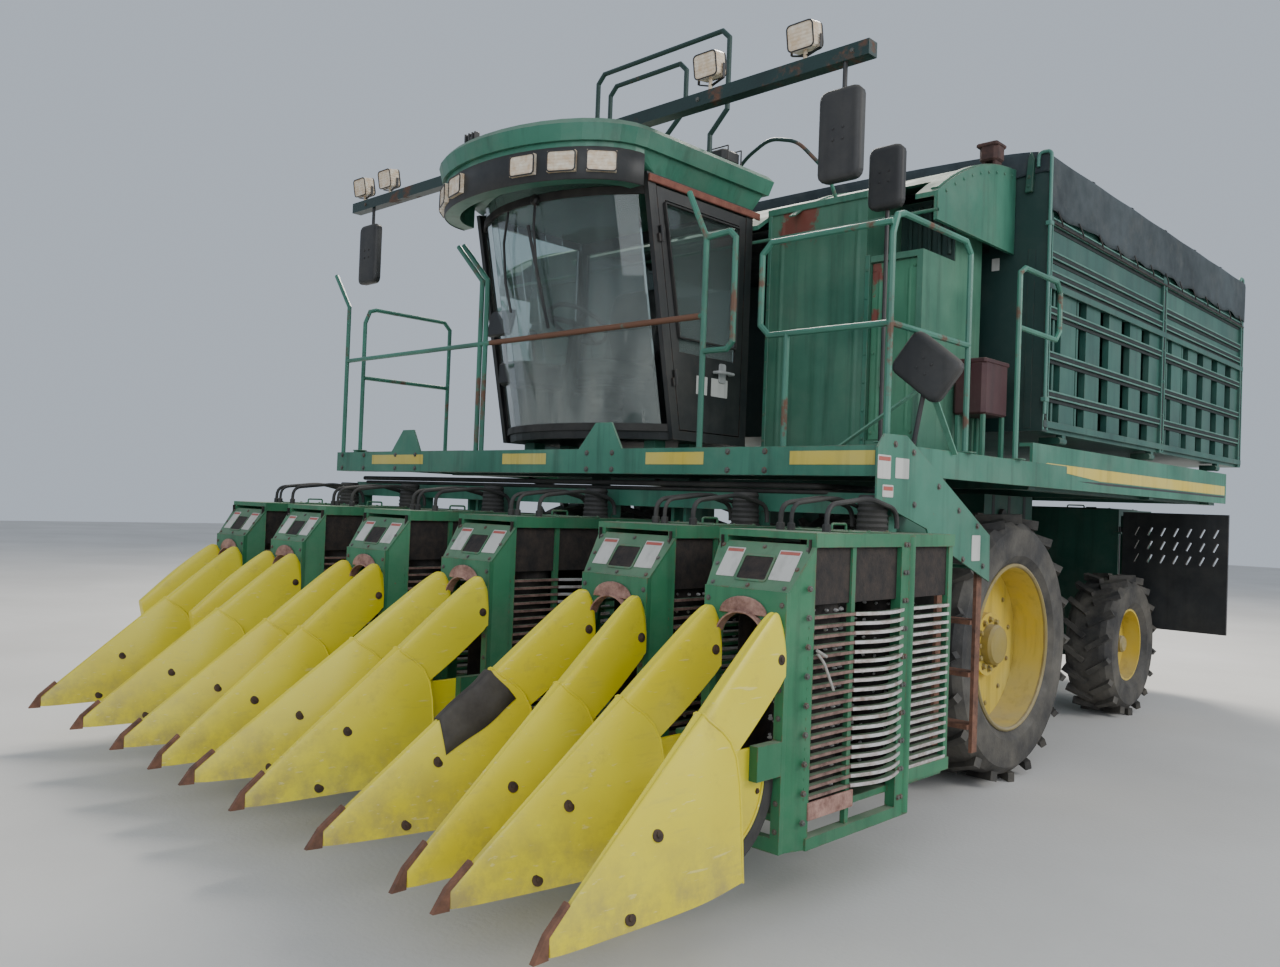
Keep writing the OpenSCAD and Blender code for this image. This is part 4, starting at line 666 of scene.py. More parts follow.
# black vinyl round the band under the roof's green rim: how far out of the band, and at what height
band_out, band_z = np.array([(-0.003, 3.66), (0.004, 3.667), (0.0045, 3.852), (-0.002, 3.86)]).T
turns = np.radians(np.linspace(-90, 90, 73))[:, None]
band = np.stack([CAB_X + (BAND_A + band_out) * np.sin(turns), BAND_Y - (BAND_B + band_out) * np.cos(turns),
                 band_z + 0 * turns], -1)
piece("visor_band_vinyl", (band, lay_quads(73, 4)[:, ::-1]), black, smooth=50)
bezels = []
for t in np.radians((-61, -41, -22, 22, 41, 61)):
    turn = math.atan(BAND_B / BAND_A * math.tan(t))
    u, out = np.array([math.cos(turn), math.sin(turn), 0]), np.array([math.sin(turn), -math.cos(turn), 0])
    face = np.array([CAB_X + BAND_A * math.sin(t), BAND_Y - BAND_B * math.cos(t), 3.765])
    bezels.append(frame_of(0.172, 0.114, 0.015, 0.008, 0.006, face + 0.029 * out, (u, UP)))
# lamps of the light bar: share of its length, and height over it; each has a bezel, a back and a yoke
BAR_LAMPS = [(0.83, 0.13), (0.56, 0.15), (-0.8, 0.12), (-0.95, 0.12)]
YOKE = [(-0.095, 0), (-0.095, -0.55), (0, -0.75), (0.095, -0.55), (0.095, 0)]
tilt = math.radians(10)
v = np.array([0, -math.sin(tilt), math.cos(tilt)])
out = np.cross(LEFT, v)
for share, rise in BAR_LAMPS:
    middle = np.array([-0.225 + share * 2.475, -1.315, 4.16 + rise])
    bezels.append(frame_of(0.16, 0.13, 0.02, 0.007, 0.006, middle + 0.0395 * out, (LEFT, v)))
    bezels.append(tile(0.176, 0.146, 0.03, middle - 0.043 * out, (LEFT, -v), 0.012, 0.004))
    bezels.append(carry([middle + (x, 0.02, rise * low) for x, low in YOKE], bar(0.02, 0.006), BACK))
piece("lamp_bezels", bezels, black, smooth=35)
pairs = (-0.62, -0.58, 0.28, 0.32)
piece("light_bar_bolts", [studs([(x, -1.34, 4.12) for x in (-2.5, -1.3, *pairs, 1.1, 2.15)], FRONT, 0.011, 0.009),
                          studs([(x, -1.362, 4.06) for x in pairs], FRONT, 0.009, 0.008)], bolt_steel)
# steel conduit clipped along the bar's rear
conduit = carry([(x, -1.247, 4.12) for x in (-2.62, -1.0, 0.6, 2.18)], ring(0.0085, 8), UP)
clips = [block(x - 0.012, -1.262, 4.1, x + 0.012, -1.2385, 4.135, 0.002) for x in np.linspace(-2.4, 2.0, 9)]
piece("bar_conduit", [conduit, *clips], seal, smooth=40)
# on the roof: a rear work lamp in its guard, an aerial foot, and the tube that ties the roof to the duct
roof_lamp = blocks((0.53, -0.58, 4.052, 0.69, -0.4, 4.135, 0.012), (0.57, -0.55, 4.0375, 0.65, -0.43, 4.056, 0.003),
                   (-0.61, -1.765, 4.0375, -0.52, -1.69, 4.055, 0.003),
                   (-0.58, -1.74, 4.05, -0.55, -1.71, 4.15, 0.003), (-0.62, -1.74, 4.11, -0.503, -1.71, 4.125, 0.002),
                   *[(x, -1.745, 4.12, x + 0.012, -1.7, 4.175, 0.002) for x in (-0.62, -0.58, -0.545, -0.515)])
roof_lamp += [carry([(0.515, y, 4.05), (0.515, y, 4.15), (0.705, y, 4.15), (0.705, y, 4.05)], bar(0.012, 0.006), BACK)
              for y in (-0.56, -0.42)]
piece("roof_hatch", [tile(0.86, 0.4, 0.06, (CAB_X, -1.02, ROOF_Z), TOP, 0.016, 0.006),
                     tile(0.6, 0.13, 0.04, (CAB_X, -1.585, ROOF_Z), TOP, 0.008, 0.004),
                     studs([(CAB_X + a, -1.02 + b, 4.052) for a in (-0.39, 0.39) for b in (-0.16, 0.16)], UP, 0.009,
                           0.007)], roof_green, smooth=35)
piece("roof_fittings", roof_lamp, black, smooth=35)
tie = tube([(0.5, -0.25, 4.036), (0.62, -0.27, 4.15), (0.85, -0.3, 4.235), (1.08, -0.3, 4.17), (1.26, -0.2, 3.95),
            (1.26, -0.09, 3.8)], 0.08, 0.013, BACK, 10, 6)
ends = [tile(0.08, 0.06, 0.01, spot, TOP, 0.006) for spot in ((0.5, -0.25, ROOF_Z), (1.26, -0.09, 3.8005))]
piece("roof_tie", [tie, *ends], rail_green, smooth=40)


# Mirrors. Moulded black housings screwed to bent arms, their glass on the side of the driver. The low one by the
# steps is held by a brace that is bolted to the deck.
dress(black, "mirrors")
MIRRORS = [((2.1, -1.335, 3.69), 0.25, 0.48, 0), ((-2.4, -1.335, 3.69), 0.25, 0.48, 0),
           ((1.905, -0.54, 3.705), 0.22, 0.37, 0), ((2.5, -1.09, 2.485), 0.33, 0.25, 38)]
shells, panes = [], []
for middle, wide, tall, tilt in MIRRORS:
    a = math.radians(tilt)
    u, v = np.array([math.cos(a), 0, -math.sin(a)]), np.array([math.sin(a), 0, math.cos(a)])
    edges = [outset(rounded(wide, tall, 0.045), by) for by in (0.003, -0.001, -0.012, -0.03)]
    shells.append(stacked(lifted(edges, [0.01, 0.026, 0.034, 0.038], middle, (u, v))))
    shells.append(studs([middle + x * u + z * v + (0, -0.037, 0) for x in (-0.03, 0.03) for z in (-0.03, 0.03)],
                        FRONT, 0.007, 0.006))
    panes.append(tile(wide - 0.03, tall - 0.03, 0.035, np.add(middle, (0, 0.0235, 0)), (-u, v), 0.003, 0.001))
piece("mirror_shells", shells, weathered_paint("mirror_plastic", (0.018, 0.018, 0.019), (0.03, 0.03, 0.031), dust=0.3,
                                               chips=0.0, rough=0.55), smooth=50)
# the low mirror stands on a brace of two flat legs, bolted to the deck
brace_green = weathered_paint("brace_green", (0.075, 0.22, 0.15), (0.12, 0.3, 0.21), dust=0.2, chips=0.3)
brace = [carry([(1.99, -1.13, 2.064), (2.23, -1.06, 2.245), (2.455, -0.995, 2.415)], bar(0.035, 0.01), BACK),
         carry([(2.455, -0.985, 2.42), (2.455, -0.83, 2.24), (2.455, -0.68, 2.064)], bar(0.035, 0.01), LEFT),
         block(1.955, -1.16, DECK_Z, 2.03, -1.1, 2.068), studs([(1.99, -1.145, 2.068)], UP, 0.008, 0.008),
         studs([(2.455, -0.99, 2.425)], LEFT, 0.012, 0.02)]
piece("mirror_brace", brace, brace_green)
silver = Recipe("mirror_glass")
silver_tone = silver.blend(silver.ramp(silver.noise(6, 6), 0.45, 0.8, 0, 0.4), (0.75, 0.78, 0.8, 1), DUST)
piece("mirror_glass", panes, silver.finish(silver_tone, silver.ramp(silver.noise(6, 6), 0.4, 0.8, 0.03, 0.3),
                                           Metallic=1.0))


# Air ducts and their hood. Folded green sheet: the left duct's front has shallow upright swages and a patch of red
# primer at its top; the right ducts are ribbed and dark green, nearly black. The hood's arch is riveted to them.
duct_green = weathered_paint("duct_green", (0.034, 0.135, 0.086), (0.095, 0.235, 0.155), dust=0.35, chips=0.2,
                             rough=0.4, primer_or_shade=((0.84, -1.3, 3.55), (1.14, -1.0, 3.86), (0.2, 0.055, 0.04, 1)))
dress(duct_green, "duct_left")
dress(green, "duct_hood", "side_panels")
dress(dark_green, "duct_right")


def swage(x, z0, z1, y, width=0.05, rise=0.008):
    """A raised strip pressed in a sheet: across it the height follows half a cosine wave, and its ends run out."""
    along = np.linspace(0, 1, 24)[:, None]
    over = np.linspace(-1, 1, 9)[None, :]
    height = rise * 0.5 * (1 + np.cos(np.pi * over)) * np.clip(np.minimum(along, 1 - along) * 24, 0, 1)
    points = np.stack([x + over * width / 2 + 0 * along, y - height - 0.0004, z0 + (z1 - z0) * along + 0 * over], -1)
    return points.reshape(-1, 3), lay_quads(24, 9)


swages = [swage(x, 2.12, 3.74, -0.13, width, 0.005) for x, width in ((0.86, 0.05), (1.17, 0.13), (1.46, 0.05))]
piece("duct_swages", swages, duct_green, smooth=True)
DUCT_Y = -0.1302
# trim strips over the duct's edges: their corners along X and Z, and their thickness
TRIM = [((0.74, 3.755, 1.53, 3.8), 0.012), ((1.525, 2.075, 1.56, 3.38), 0.01), ((0.745, 2.075, 0.775, 3.76), 0.01)]
trim = [slab(span(*corners), (0, DUCT_Y, 0), WALL, thick, 0.003) for corners, thick in TRIM]
trim_bolts = studs([(x, -0.142, z) for x in (0.76, 1.5425) for z in np.arange(2.2, 3.3, 0.18)], FRONT, 0.007, 0.006)
piece("duct_trim", [*trim, trim_bolts], green)
LID_Y = -0.1005
# beside it a lid with its handle, then a gap over the recessed sheet, whose upper part has slots; the gap's strip,
# the recessed sheet and its slots are near black: painted shade
recess_shade_sheet = weathered_paint("duct_recess_painted_shade", (0.01, 0.035, 0.03), (0.018, 0.06, 0.05), dust=0.4, chips=0.3)
lid_green = weathered_paint("duct_lid_green", (0.036, 0.165, 0.09), (0.085, 0.27, 0.155), dust=0.35, chips=0.25,
                            rough=0.45, primer_or_shade=((1.55, -1.3, 2.95), (1.62, -1.0, 3.36), (0.2, 0.055, 0.04, 1)))
piece("duct_lid", [slab(span(1.565, 2.195, 1.885, 3.325), (0, LID_Y, 0), WALL, 0.008, 0.003),
                   *[swage(x, 2.25, 3.27, -0.1085, 0.03, 0.004) for x in (1.62, 1.83)],
                   studs([(x, -0.1085, z) for x in (1.585, 1.865) for z in (2.24, 2.75, 3.28)], FRONT, 0.009, 0.008),
                   tube([(1.66, -0.108, 2.66), (1.66, -0.14, 2.66), (1.66, -0.14, 2.52), (1.66, -0.108, 2.52)], 0.012,
                        0.006, LEFT)], lid_green, smooth=40)
piece("duct_recess", [slab(span(1.889, 2.195, 1.923, 3.3), (0, LID_Y, 0), WALL, 0.003, 0.001),
                      slab(span(1.535, 3.375, 1.925, 3.795), (0, 0.2895, 0), WALL, 0.006, 0.002),
                      *[block(1.6 + 0.07 * k, 0.262, 3.42, 1.625 + 0.07 * k, 0.284, 3.76, 0.003) for k in range(5)]],
      recess_shade_sheet)
# maroon tool box on four legs beside the duct
maroon = weathered_paint("maroon_box", (0.04, 0.01, 0.014), (0.065, 0.02, 0.022), dust=0.25, chips=0.3)
tool_box = blocks((1.94, 0.28, 2.38, 2.16, 0.62, 2.72, 0.012), (1.935, 0.275, 2.705, 2.165, 0.625, 2.735, 0.006))
piece("tool_box", [*tool_box, tile(0.03, 0.05, 0.006, (2.05, 0.272, 2.69), WALL, 0.008, 0.002)], maroon)
piece("tool_box_stand", [block(x, y, DECK_Z, x + 0.03, y + 0.03, 2.381, 0.003) for x in (1.95, 2.12)
                         for y in (0.3, 0.57)], green)
# hood: a rolled edge along its front, seams across it, rivets along its left side, and a brown box on its left end
HOOD_R, HOOD_Z, HOOD_MID = 2.0, 4.075, 0.95


def over_hood(y, out=0.0):
    """Height of the hood's arch at y: a circle of HOOD_R whose crown is at HOOD_MID."""
    return HOOD_Z - HOOD_R + np.sqrt((HOOD_R + out) ** 2 - (np.asarray(y, float) - HOOD_MID) ** 2)


arch_y = np.linspace(-0.22, 0.81, 14)
hood_parts = [carry(np.stack([np.full(14, x), arch_y, over_hood(arch_y, 0.004)], -1), bar(0.05, 0.01), LEFT)
              for x in (-2.04, -1.0, 0.0, 1.0, 2.04)]
hood_parts.append(carry([(-2.08, -0.246, 3.56), (2.08, -0.246, 3.56)], ring(0.012, 8), UP))
hood_parts.append(studs([(2.081, y, over_hood(y) - 0.05) for y in np.linspace(-0.15, 0.75, 9)], LEFT, 0.008, 0.006))
hood_box = blocks((1.945, 0.53, 4.075, 2.075, 0.66, 4.185, 0.012), (1.93, 0.52, 4.17, 2.08, 0.67, 4.195, 0.006),
                  *[(x, 0.55, 4.02, x + 0.025, 0.64, 4.08, 0.002) for x in (1.96, 2.035)])
piece("hood_seams", hood_parts, green, smooth=35)
piece("hood_box", hood_box, rusty_iron("brown_box", (0.035, 0.018, 0.016), (0.085, 0.04, 0.032)))


# Basket. Welded sheet and channel sides with upright slots, on the tipping frame. Over its hoops a dark tarpaulin
# is strapped down, its hems hooked to the upper sheet on both sides, its ends folded over the end walls.
# the basket's paint is darker than the other greens, painted shade of its sides, and darker still over its front
# wall, painted shade too
basket_green_painted_shade = weathered_paint("basket_green_painted_shade", (0.012, 0.066, 0.052), (0.03, 0.118, 0.09), dust=0.25, chips=0.25,
                               primer_or_shade=((-2.6, -0.5, 1.9), (2.6, -0.1, 4.4), (0.009, 0.034, 0.03, 1)))
rubbed_and_highlit_green = weathered_paint("basket_rubbed_and_highlit_green", (0.045, 0.16, 0.125), (0.095, 0.235, 0.19), dust=0.3, chips=0.35)
dress(basket_green_painted_shade, "basket_shell")
BASKET_Y0, BASKET_Y1 = 0.83, 5.63
ribs = []
for side in (1, -1):
    ribs += [carry([(side * 2.302, y, z) for y in (BASKET_Y0 + 0.01, 3.2, BASKET_Y1 - 0.01)], bar(0.045, 0.012), UP)
             for z in (2.36, 3.285)]
    ribs += [carry([(side * 2.268, y, 2.37), (side * 2.268, y, 3.28)], bar(0.014, 0.03), LEFT)
             for y in (*np.linspace(1.04, 3.1, 6), *np.linspace(3.4, 5.45, 6))]
ribs.append(studs([(2.3005, y, z) for y in (0.875, 3.23, 5.585) for z in (2.4, 2.62, 2.9, 3.15, 3.4, 3.66)], LEFT,
                  0.012, 0.009))
ribs += [carry([(x, 0.828, 2.33), (x, 0.828, 3.52)], bar(0.05, 0.007), LEFT)
         for x in (-2.2, -1.5, -0.7, 0.7, 1.5, 2.2)]
# rear wall: posts, rails, and six screens behind rows of bars
ribs += [carry([(x, 5.636, 2.33), (x, 5.636, 4.08)], bar(0.06, 0.02), LEFT) for x in np.linspace(-2.1, 2.1, 7)]
ribs += [carry([(-2.26, 5.634, z), (2.26, 5.634, z)], bar(0.06, 0.016), UP) for z in (2.36, 3.02, 3.96)]
screens = np.linspace(-2.1, 1.4, 6)
ribs += [carry([(x + 0.05, 5.6335, z), (x + 0.65, 5.6335, z)], bar(0.022, 0.012), UP) for x in screens
         for z in np.arange(3.1, 3.93, 0.075)]
piece("basket_ribs", ribs, basket_green_painted_shade, "basket")
piece("basket_rear_screens", [block(x + 0.04, 5.6285, 3.05, x + 0.66, 5.632, 3.93, 0.001) for x in screens],
      rusty_iron("screen_dark", (0.006, 0.012, 0.01), (0.02, 0.028, 0.022)), "basket")


def side_block(side, x0, x1, *rest):
    """A block from x0 to x1 beside the machine's middle, on the left (1) or mirrored on the right (-1)."""
    (low, high), (y0, z0, y1, z1, lip) = sorted((side * x0, side * x1)), rest
    return block(low, y0, z0, high, y1, z1, lip)


# rolled edges of the side channels and posts in a lighter green, partly rubbed paint and partly painted highlight,
# and dark strips under and between them: painted shadow
edges, seam_shadows = [], []
for side in (1, -1):
    for y0, y1 in ((0.925, 3.18), (3.28, 5.535)):
        for z in (2.54, 2.8, 3.1, 3.34, 3.47, 3.69):
            edges += [carry([(side * 2.2975, y, z + lip) for y in (y0, y1)], bar(0.011, 0.006), UP)
                      for lip in (0.005, 0.045)]
            seam_shadows.append(side_block(side, 2.2812, 2.2832, y0, z - 0.026, y1, z - 0.001, 0.0006))
            seam_shadows.append(side_block(side, 2.2962, 2.2978, y0, z + 0.013, y1, z + 0.037, 0.0005))
    edges += [carry([(side * 2.3015, y, 2.32), (side * 2.3015, y, 3.7)], bar(0.014, 0.006), BACK)
              for y in (0.842, 0.908, 3.197, 3.263, 5.552, 5.618)]
    seam_shadows += [side_block(side, 2.3003, 2.3015, y - 0.017, 2.33, y + 0.017, 3.7, 0.0004) for y in (0.875, 3.23, 5.585)]
piece("basket_channel_highlights", edges, rubbed_and_highlit_green, "basket")
piece("basket_seam_shadows", seam_shadows, rusty_iron("seam_painted_shadow", (0.004, 0.009, 0.01), (0.014, 0.022, 0.022)), "basket")
# on the left corners: the cover's crank tube with its hooked head in front, and a bent handle behind
crank = tube([(2.322, 0.81, 2.42), (2.322, 0.81, 4.155), (2.235, 0.81, 4.155), (2.235, 0.81, 4.06)], 0.035, 0.012,
             BACK, 10)
handle = tube([(2.27, 5.6, 4.12), (2.27, 5.6, 4.195), (2.27, 5.7, 4.195), (2.27, 5.7, 3.1), (2.27, 5.632, 3.1)], 0.03,
              0.013, LEFT, 10)
piece("basket_tubes", [crank, handle, *[block(2.296, 0.796, z, 2.337, 0.85, z + 0.03, 0.003)
                                        for z in (2.5, 3.3, 3.66)]], rubbed_and_highlit_green, "basket", smooth=40)
# on the front wall: a hook plate at the corner and a small blank label
piece("basket_hook", [slab([(2.15, 3.9), (2.2, 3.9), (2.21, 4.12), (2.185, 4.17), (2.165, 4.12)], (0, 0.8275, 0),
                           WALL, 0.03, 0.004), studs([(2.175, 0.7985, z) for z in (3.94, 4.0)], FRONT, 0.009, 0.008)],
      dark_green, "basket")
piece("basket_label", tile(0.055, 0.085, 0.004, (1.95, 0.8285, 3.45), WALL, 0.002, 0.0006), plate_white, "basket")

tarpaulin = Recipe("tarpaulin")
weave = tarpaulin.times(tarpaulin.noise(150, 2, 0.5, (1, 0.2, 1)), 1.0)
cloth_tone = tarpaulin.blend(tarpaulin.ramp(tarpaulin.noise(1.6, 7, 0.65), 0.35, 0.7), (0.013, 0.022, 0.027, 1),
                             (0.045, 0.062, 0.07, 1))
cloth_tone = tarpaulin.blend(tarpaulin.ramp(tarpaulin.noise(5, 8, 0.7), 0.52, 0.82, 0, 0.35), cloth_tone,
                             (0.13, 0.125, 0.11, 1))
tarpaulin = tarpaulin.finish(cloth_tone, tarpaulin.ramp(tarpaulin.noise(9), 0.3, 0.7, 0.6, 0.85), weave, 0.0015)


def cloth_piece(name, grid, material, body, thick):
    """A grid of points as a sheet with its thickness to both sides, and the area of the cloth that it takes."""
    made = piece(name, (grid, lay_quads(*grid.shape[:2])), material, body, smooth=True)
    layer = made.modifiers.new("thickness", "SOLIDIFY")
    layer.thickness, layer.offset = thick, 0.0
    along, over = np.diff(grid, axis=0)[:, :-1], np.diff(grid, axis=1)[:-1]
    return made, float(np.linalg.norm(np.cross(along, over), axis=-1).sum())


# Cover: across it, a share of the way from hem to hem hangs on either side, with folds, and the rest follows the
# hoops' arch, a sine raised to a power; between two hoops it sags.
HEM, EDGE, RISE, ARCH_POWER, HANG, CUT_WIDTH, CLOTH = 3.76, 4.125, 0.112, 0.75, 0.13, 4.81, 0.0025
share, length = np.linspace(0, 1, 75)[None, :], np.linspace(0, 1, 121)[:, None]
arch = np.clip((share - HANG) / (1 - 2 * HANG), 0, 1) * np.pi
drop = np.clip((HANG - share) / HANG, 0, 1) + np.clip((share - 1 + HANG) / HANG, 0, 1)
folds = np.sin(34 * length + 3 * np.sin(9 * length)) + 0.6 * np.sin(71 * length + 1.3)
sag = 0.028 * np.sin(np.pi * np.clip((length * 6) % 1, 0, 1)) ** 2
x = np.where(drop > 0, np.where(share < 0.5, 1, -1) * (2.3085 + 0.0065 * folds * drop), 2.305 * np.cos(arch))
y = BASKET_Y0 - 0.004 + (BASKET_Y1 - BASKET_Y0 + 0.008) * length
z = np.where(drop > 0, EDGE - (EDGE - HEM - 0.012 * folds) * drop, EDGE + (RISE - sag) * np.sin(arch) ** ARCH_POWER)
cloth = np.stack([x + 0 * length, y + 0 * share, z + 0 * length], -1)
tarp, cut_area = cloth_piece("basket_tarpaulin", cloth, tarpaulin, "basket", CLOTH)
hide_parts("basket_cover")
# the two ends of the cover, folded down over the end walls from the same arch
for end, y_end, way in (("front", BASKET_Y0 - 0.005, -1), ("rear", BASKET_Y1 + 0.005, 1)):
    u, v = np.linspace(0, 1, 61)[None, :], np.linspace(0, 1, 8)[:, None]
    x = 2.303 * np.cos(np.pi * u) + 0 * v
    y = y_end + way * 0.004 * (1 + np.sin(41 * u + 2 * np.sin(13 * u))) * v
    z = (EDGE + RISE * np.sin(np.pi * u) ** ARCH_POWER) * (1 - v) + (4.015 + 0.01 * np.sin(23 * u)) * v
    gable, gable_area = cloth_piece(f"basket_gable_{end}", np.stack([x, y, z], -1), tarpaulin, "basket", CLOTH)
# webbing straps over each hoop, from edge to edge
bend = np.linspace(0, np.pi, 33)[1:-1]
straps = []
for y in np.clip(np.linspace(BASKET_Y0, BASKET_Y1, 7), BASKET_Y0 + 0.04, BASKET_Y1 - 0.04):
    crest = np.stack([2.309 * np.cos(bend), np.full(31, y), EDGE + 0.004 + RISE * np.sin(bend) ** ARCH_POWER], -1)
    straps.append(carry(crest, bar(0.04, 0.003), BACK))
piece("cover_straps", straps, dusty_rubber("webbing", (0.016, 0.02, 0.022), worn=0.45), "basket", smooth=30)
# the hem's steel rod on the left and the hooks that hold it
hooks = [carry([(2.318, y, HEM + 0.02), (2.322, y + 0.05, HEM - 0.03), (2.316, y + 0.1, HEM - 0.055)], ring(0.005, 6),
               UP) for y in np.arange(0.95, 5.4, 0.37)]
hooks.append(carry([(2.306, 0.86, 3.7), (2.306, 3.2, 3.695), (2.306, 5.6, 3.7)], ring(0.007, 8), UP))
piece("tarpaulin_hooks", hooks, seal, "basket", smooth=True)


# Rear end. A sheet housing over the engine, its louvred black door standing open on the left, a screened grille and
# tail lamps at the back, lids on top, and louvres on the right.
dress(black, "engine_door")
dress(dark_green, "engine_housing")
grille = [carry([(-1.2, 5.7815, z), (1.2, 5.7815, z)], bar(0.012, 0.005), UP) for z in np.arange(0.95, 1.62, 0.045)]
grille += [carry([(x, 5.7825, 0.92), (x, 5.7825, 1.64)], bar(0.03, 0.006), LEFT) for x in (-1.22, -0.4, 0.4, 1.22)]
grille.append(slab(span(1.2, 0.93, -1.2, 1.63), (0, 5.7795, 0), ((-1, 0, 0), UP), 0.0018, 0.0005))
# the edge strip of the door's opening
grille.append(slab(span(4.84, 0.73, 4.87, 1.6), (1.44, 0, 0), SIDE, 0.004, 0.001))
piece("rear_grille", grille, black)
# louvres on the closed right side, two lids with hinges and handles on top, and a short exhaust pipe beside them
louvres = []
for y in (4.98, 5.38):
    louvres += [carry([(-1.4415, y, z), (-1.4415, y + 0.3, z)], bar(0.022, 0.01, 0.3), (-0.5, 0, 0.87))
                for z in np.arange(0.98, 1.62, 0.055)]
    louvres.append(frame_of(0.36, 0.72, 0.02, 0.02, 0.006, (-1.4402, y + 0.15, 1.3), (FRONT, UP)))
HOUSING_Z = 1.8503
lids = []
for x in (-0.72, 0.72):
    lids.append(tile(1.25, 0.78, 0.04, (x, 5.3, HOUSING_Z), TOP, 0.01, 0.004))
    lids.append(frame_of(1.13, 0.66, 0.03, 0.012, 0.004, (x, 5.3, 1.8603), TOP))
    lids += [carry([(x + d - 0.05, 4.905, 1.862), (x + d + 0.05, 4.905, 1.862)], ring(0.01, 8), UP)
             for d in (-0.42, 0.42)]
    lids.append(tube([(x - 0.09, 5.6, 1.86), (x - 0.09, 5.6, 1.895), (x + 0.09, 5.6, 1.895), (x + 0.09, 5.6, 1.86)],
                     0.02, 0.008, BACK))
    lids.append(studs([(x + a, 5.3 + b, 1.8603) for a in (-0.58, 0.58) for b in (-0.34, 0.34)], UP, 0.01, 0.007))
piece("housing_louvres", louvres, dark_green, smooth=35)
piece("housing_lids", lids, dark_green, smooth=35)
exhaust = revolve([(0.085, 0), (0.085, 0.006), (0.045, 0.008), (0.042, 0.16), (0.048, 0.162), (0.048, 0.175),
                   (0.038, 0.175), (0.038, 0.03)], (-1.25, 4.92, HOUSING_Z), UP, 24)
piece("exhaust_pipe", exhaust, rusty_iron("exhaust_rust", (0.08, 0.045, 0.03), (0.2, 0.11, 0.07)), smooth=35)
# what the open left side shows of the engine: filter can, belt pulleys, injector pipes and a heat shield
face = 0.56
machinery = [revolve([(0.02, 0), (0.1, 0.005), (0.115, 0.03), (0.115, 0.3), (0.118, 0.31), (0.118, 0.36),
                      (0.1, 0.385), (0.03, 0.39)], (face + 0.13, 5.1, 1.52), BACK, 28),
             revolve([(0.105, 0), (0.12, 0.006), (0.108, 0.016), (0.12, 0.026), (0.11, 0.034), (0.03, 0.036),
                      (0.03, 0.07), (0.012, 0.075)], (face, 5.02, 1.36), LEFT, 28),
             revolve([(0.06, 0), (0.07, 0.006), (0.06, 0.016), (0.07, 0.026), (0.06, 0.034), (0.02, 0.036)],
                     (face, 5.24, 1.31), LEFT, 24), block(face, 5.36, 1.27, face + 0.1, 5.6, 1.45, 0.012),
             carry([(face + 0.02, 5.02, 1.475), (face + 0.02, 5.24, 1.377)], bar(0.016, 0.01), LEFT)]
for k in range(6):
    y = 5.02 + 0.11 * k
    machinery.append(tube([(face, y, 1.7), (face + 0.05, y, 1.7), (face + 0.06, y + 0.03, 1.56),
                           (face + 0.01, 5.36 + 0.03 * k, 1.44)], 0.03, 0.006, (0.3, 1, 0.2), 6))
piece("engine_fittings", machinery, rusty_iron("engine_iron", (0.022, 0.024, 0.024), (0.085, 0.08, 0.07)), smooth=40)
LAMP_SPOTS = [(x, 5.7803, 1.78) for x in (-1.3, 1.3)]
piece("tail_lamp_frames", [frame_of(0.12, 0.07, 0.01, 0.01, 0.005, spot, ((-1, 0, 0), UP)) for spot in LAMP_SPOTS],
      black)
red_glass = Recipe("red_lens")
red_tone = red_glass.blend(red_glass.ramp(red_glass.noise(12, 5), 0.35, 0.7), (0.35, 0.015, 0.01, 1),
                           (0.42, 0.06, 0.04, 1))
piece("tail_lamp_lenses", [tile(0.118, 0.068, 0.01, spot, ((-1, 0, 0), UP), 0.004, 0.0015) for spot in LAMP_SPOTS],
      red_glass.finish(red_tone, 0.25, red_glass.noise(90), 0.001))


# Lift gear. Arms and cross beam of the header in welded plate and box section, pinned to the frame, and the
# cylinders that raise them and the basket: rubbed steel rods in painted barrels.
steel = rusty_iron("worn_steel", (0.3, 0.29, 0.29), (0.52, 0.5, 0.48))
dress(steel, "lift_rods")
dress(dark_green, "lift_barrels")
dress(green, "lift_arms", "header_beam")


# Picking units. Six folded green housings under the cross beam: a front frame with an arched mouth, a sloping plate
# with a window, and grid bars round the drums, rusty in front and rubbed bright by the cotton further back. On top
# of each are a bolted cover, rubber pipes and the ribbed boot of its suction duct.
UNIT_X = [2.4, 1.62, 0.46, -0.55, -1.55, -2.4]
FACE, UNIT_LONG, UNIT_HALF, FRONT_HALF = -2.41, 1.36, 0.26, 0.2175
UNIT_Z1, PLATE_Z0 = 1.64, 1.395
unit_green = weathered_paint("unit_green", (0.016, 0.125, 0.055), (0.042, 0.2, 0.095), dust=0.5, chips=0.7)
dress(unit_green, *[f"row_unit_{n}" for n in range(1, 7)])
drum_dark = rusty_iron("drum_iron", (0.012, 0.011, 0.011), (0.045, 0.035, 0.03))
dress(drum_dark, "picker_drums")
slope = math.atan2(UNIT_Z1 - 0.045 - PLATE_Z0, 0.14)
up_plate = np.array([0, math.cos(slope), math.sin(slope)])
off_plate = np.array([0, -math.sin(slope), math.cos(slope)])
plate_foot = np.array([0, FACE + 0.0054, PLATE_Z0 - 0.0074])
grid_start, grid_end = FACE + 0.47, FACE + UNIT_LONG - 0.47
bow_share = np.linspace(0, 1, 15)
BAR_Z0, BAR_STEP, BARS = 0.541, 0.0415, 19
bright = Recipe("rubbed_bars")
rubbed = bright.ramp(bright.noise(9, 6, 0.7, (1, 1, 3)), 0.4, 0.66)
bright_steel = bright.finish(bright.blend(rubbed, (0.74, 0.72, 0.71, 1), (0.34, 0.25, 0.21, 1)),
                             bright.ramp(rubbed, 0, 1, 0.28, 0.75), bright.noise(120), 0.0006, Metallic=0.55)
lip_rust = rusty_iron("lip_rust", (0.15, 0.07, 0.055), (0.42, 0.25, 0.2))
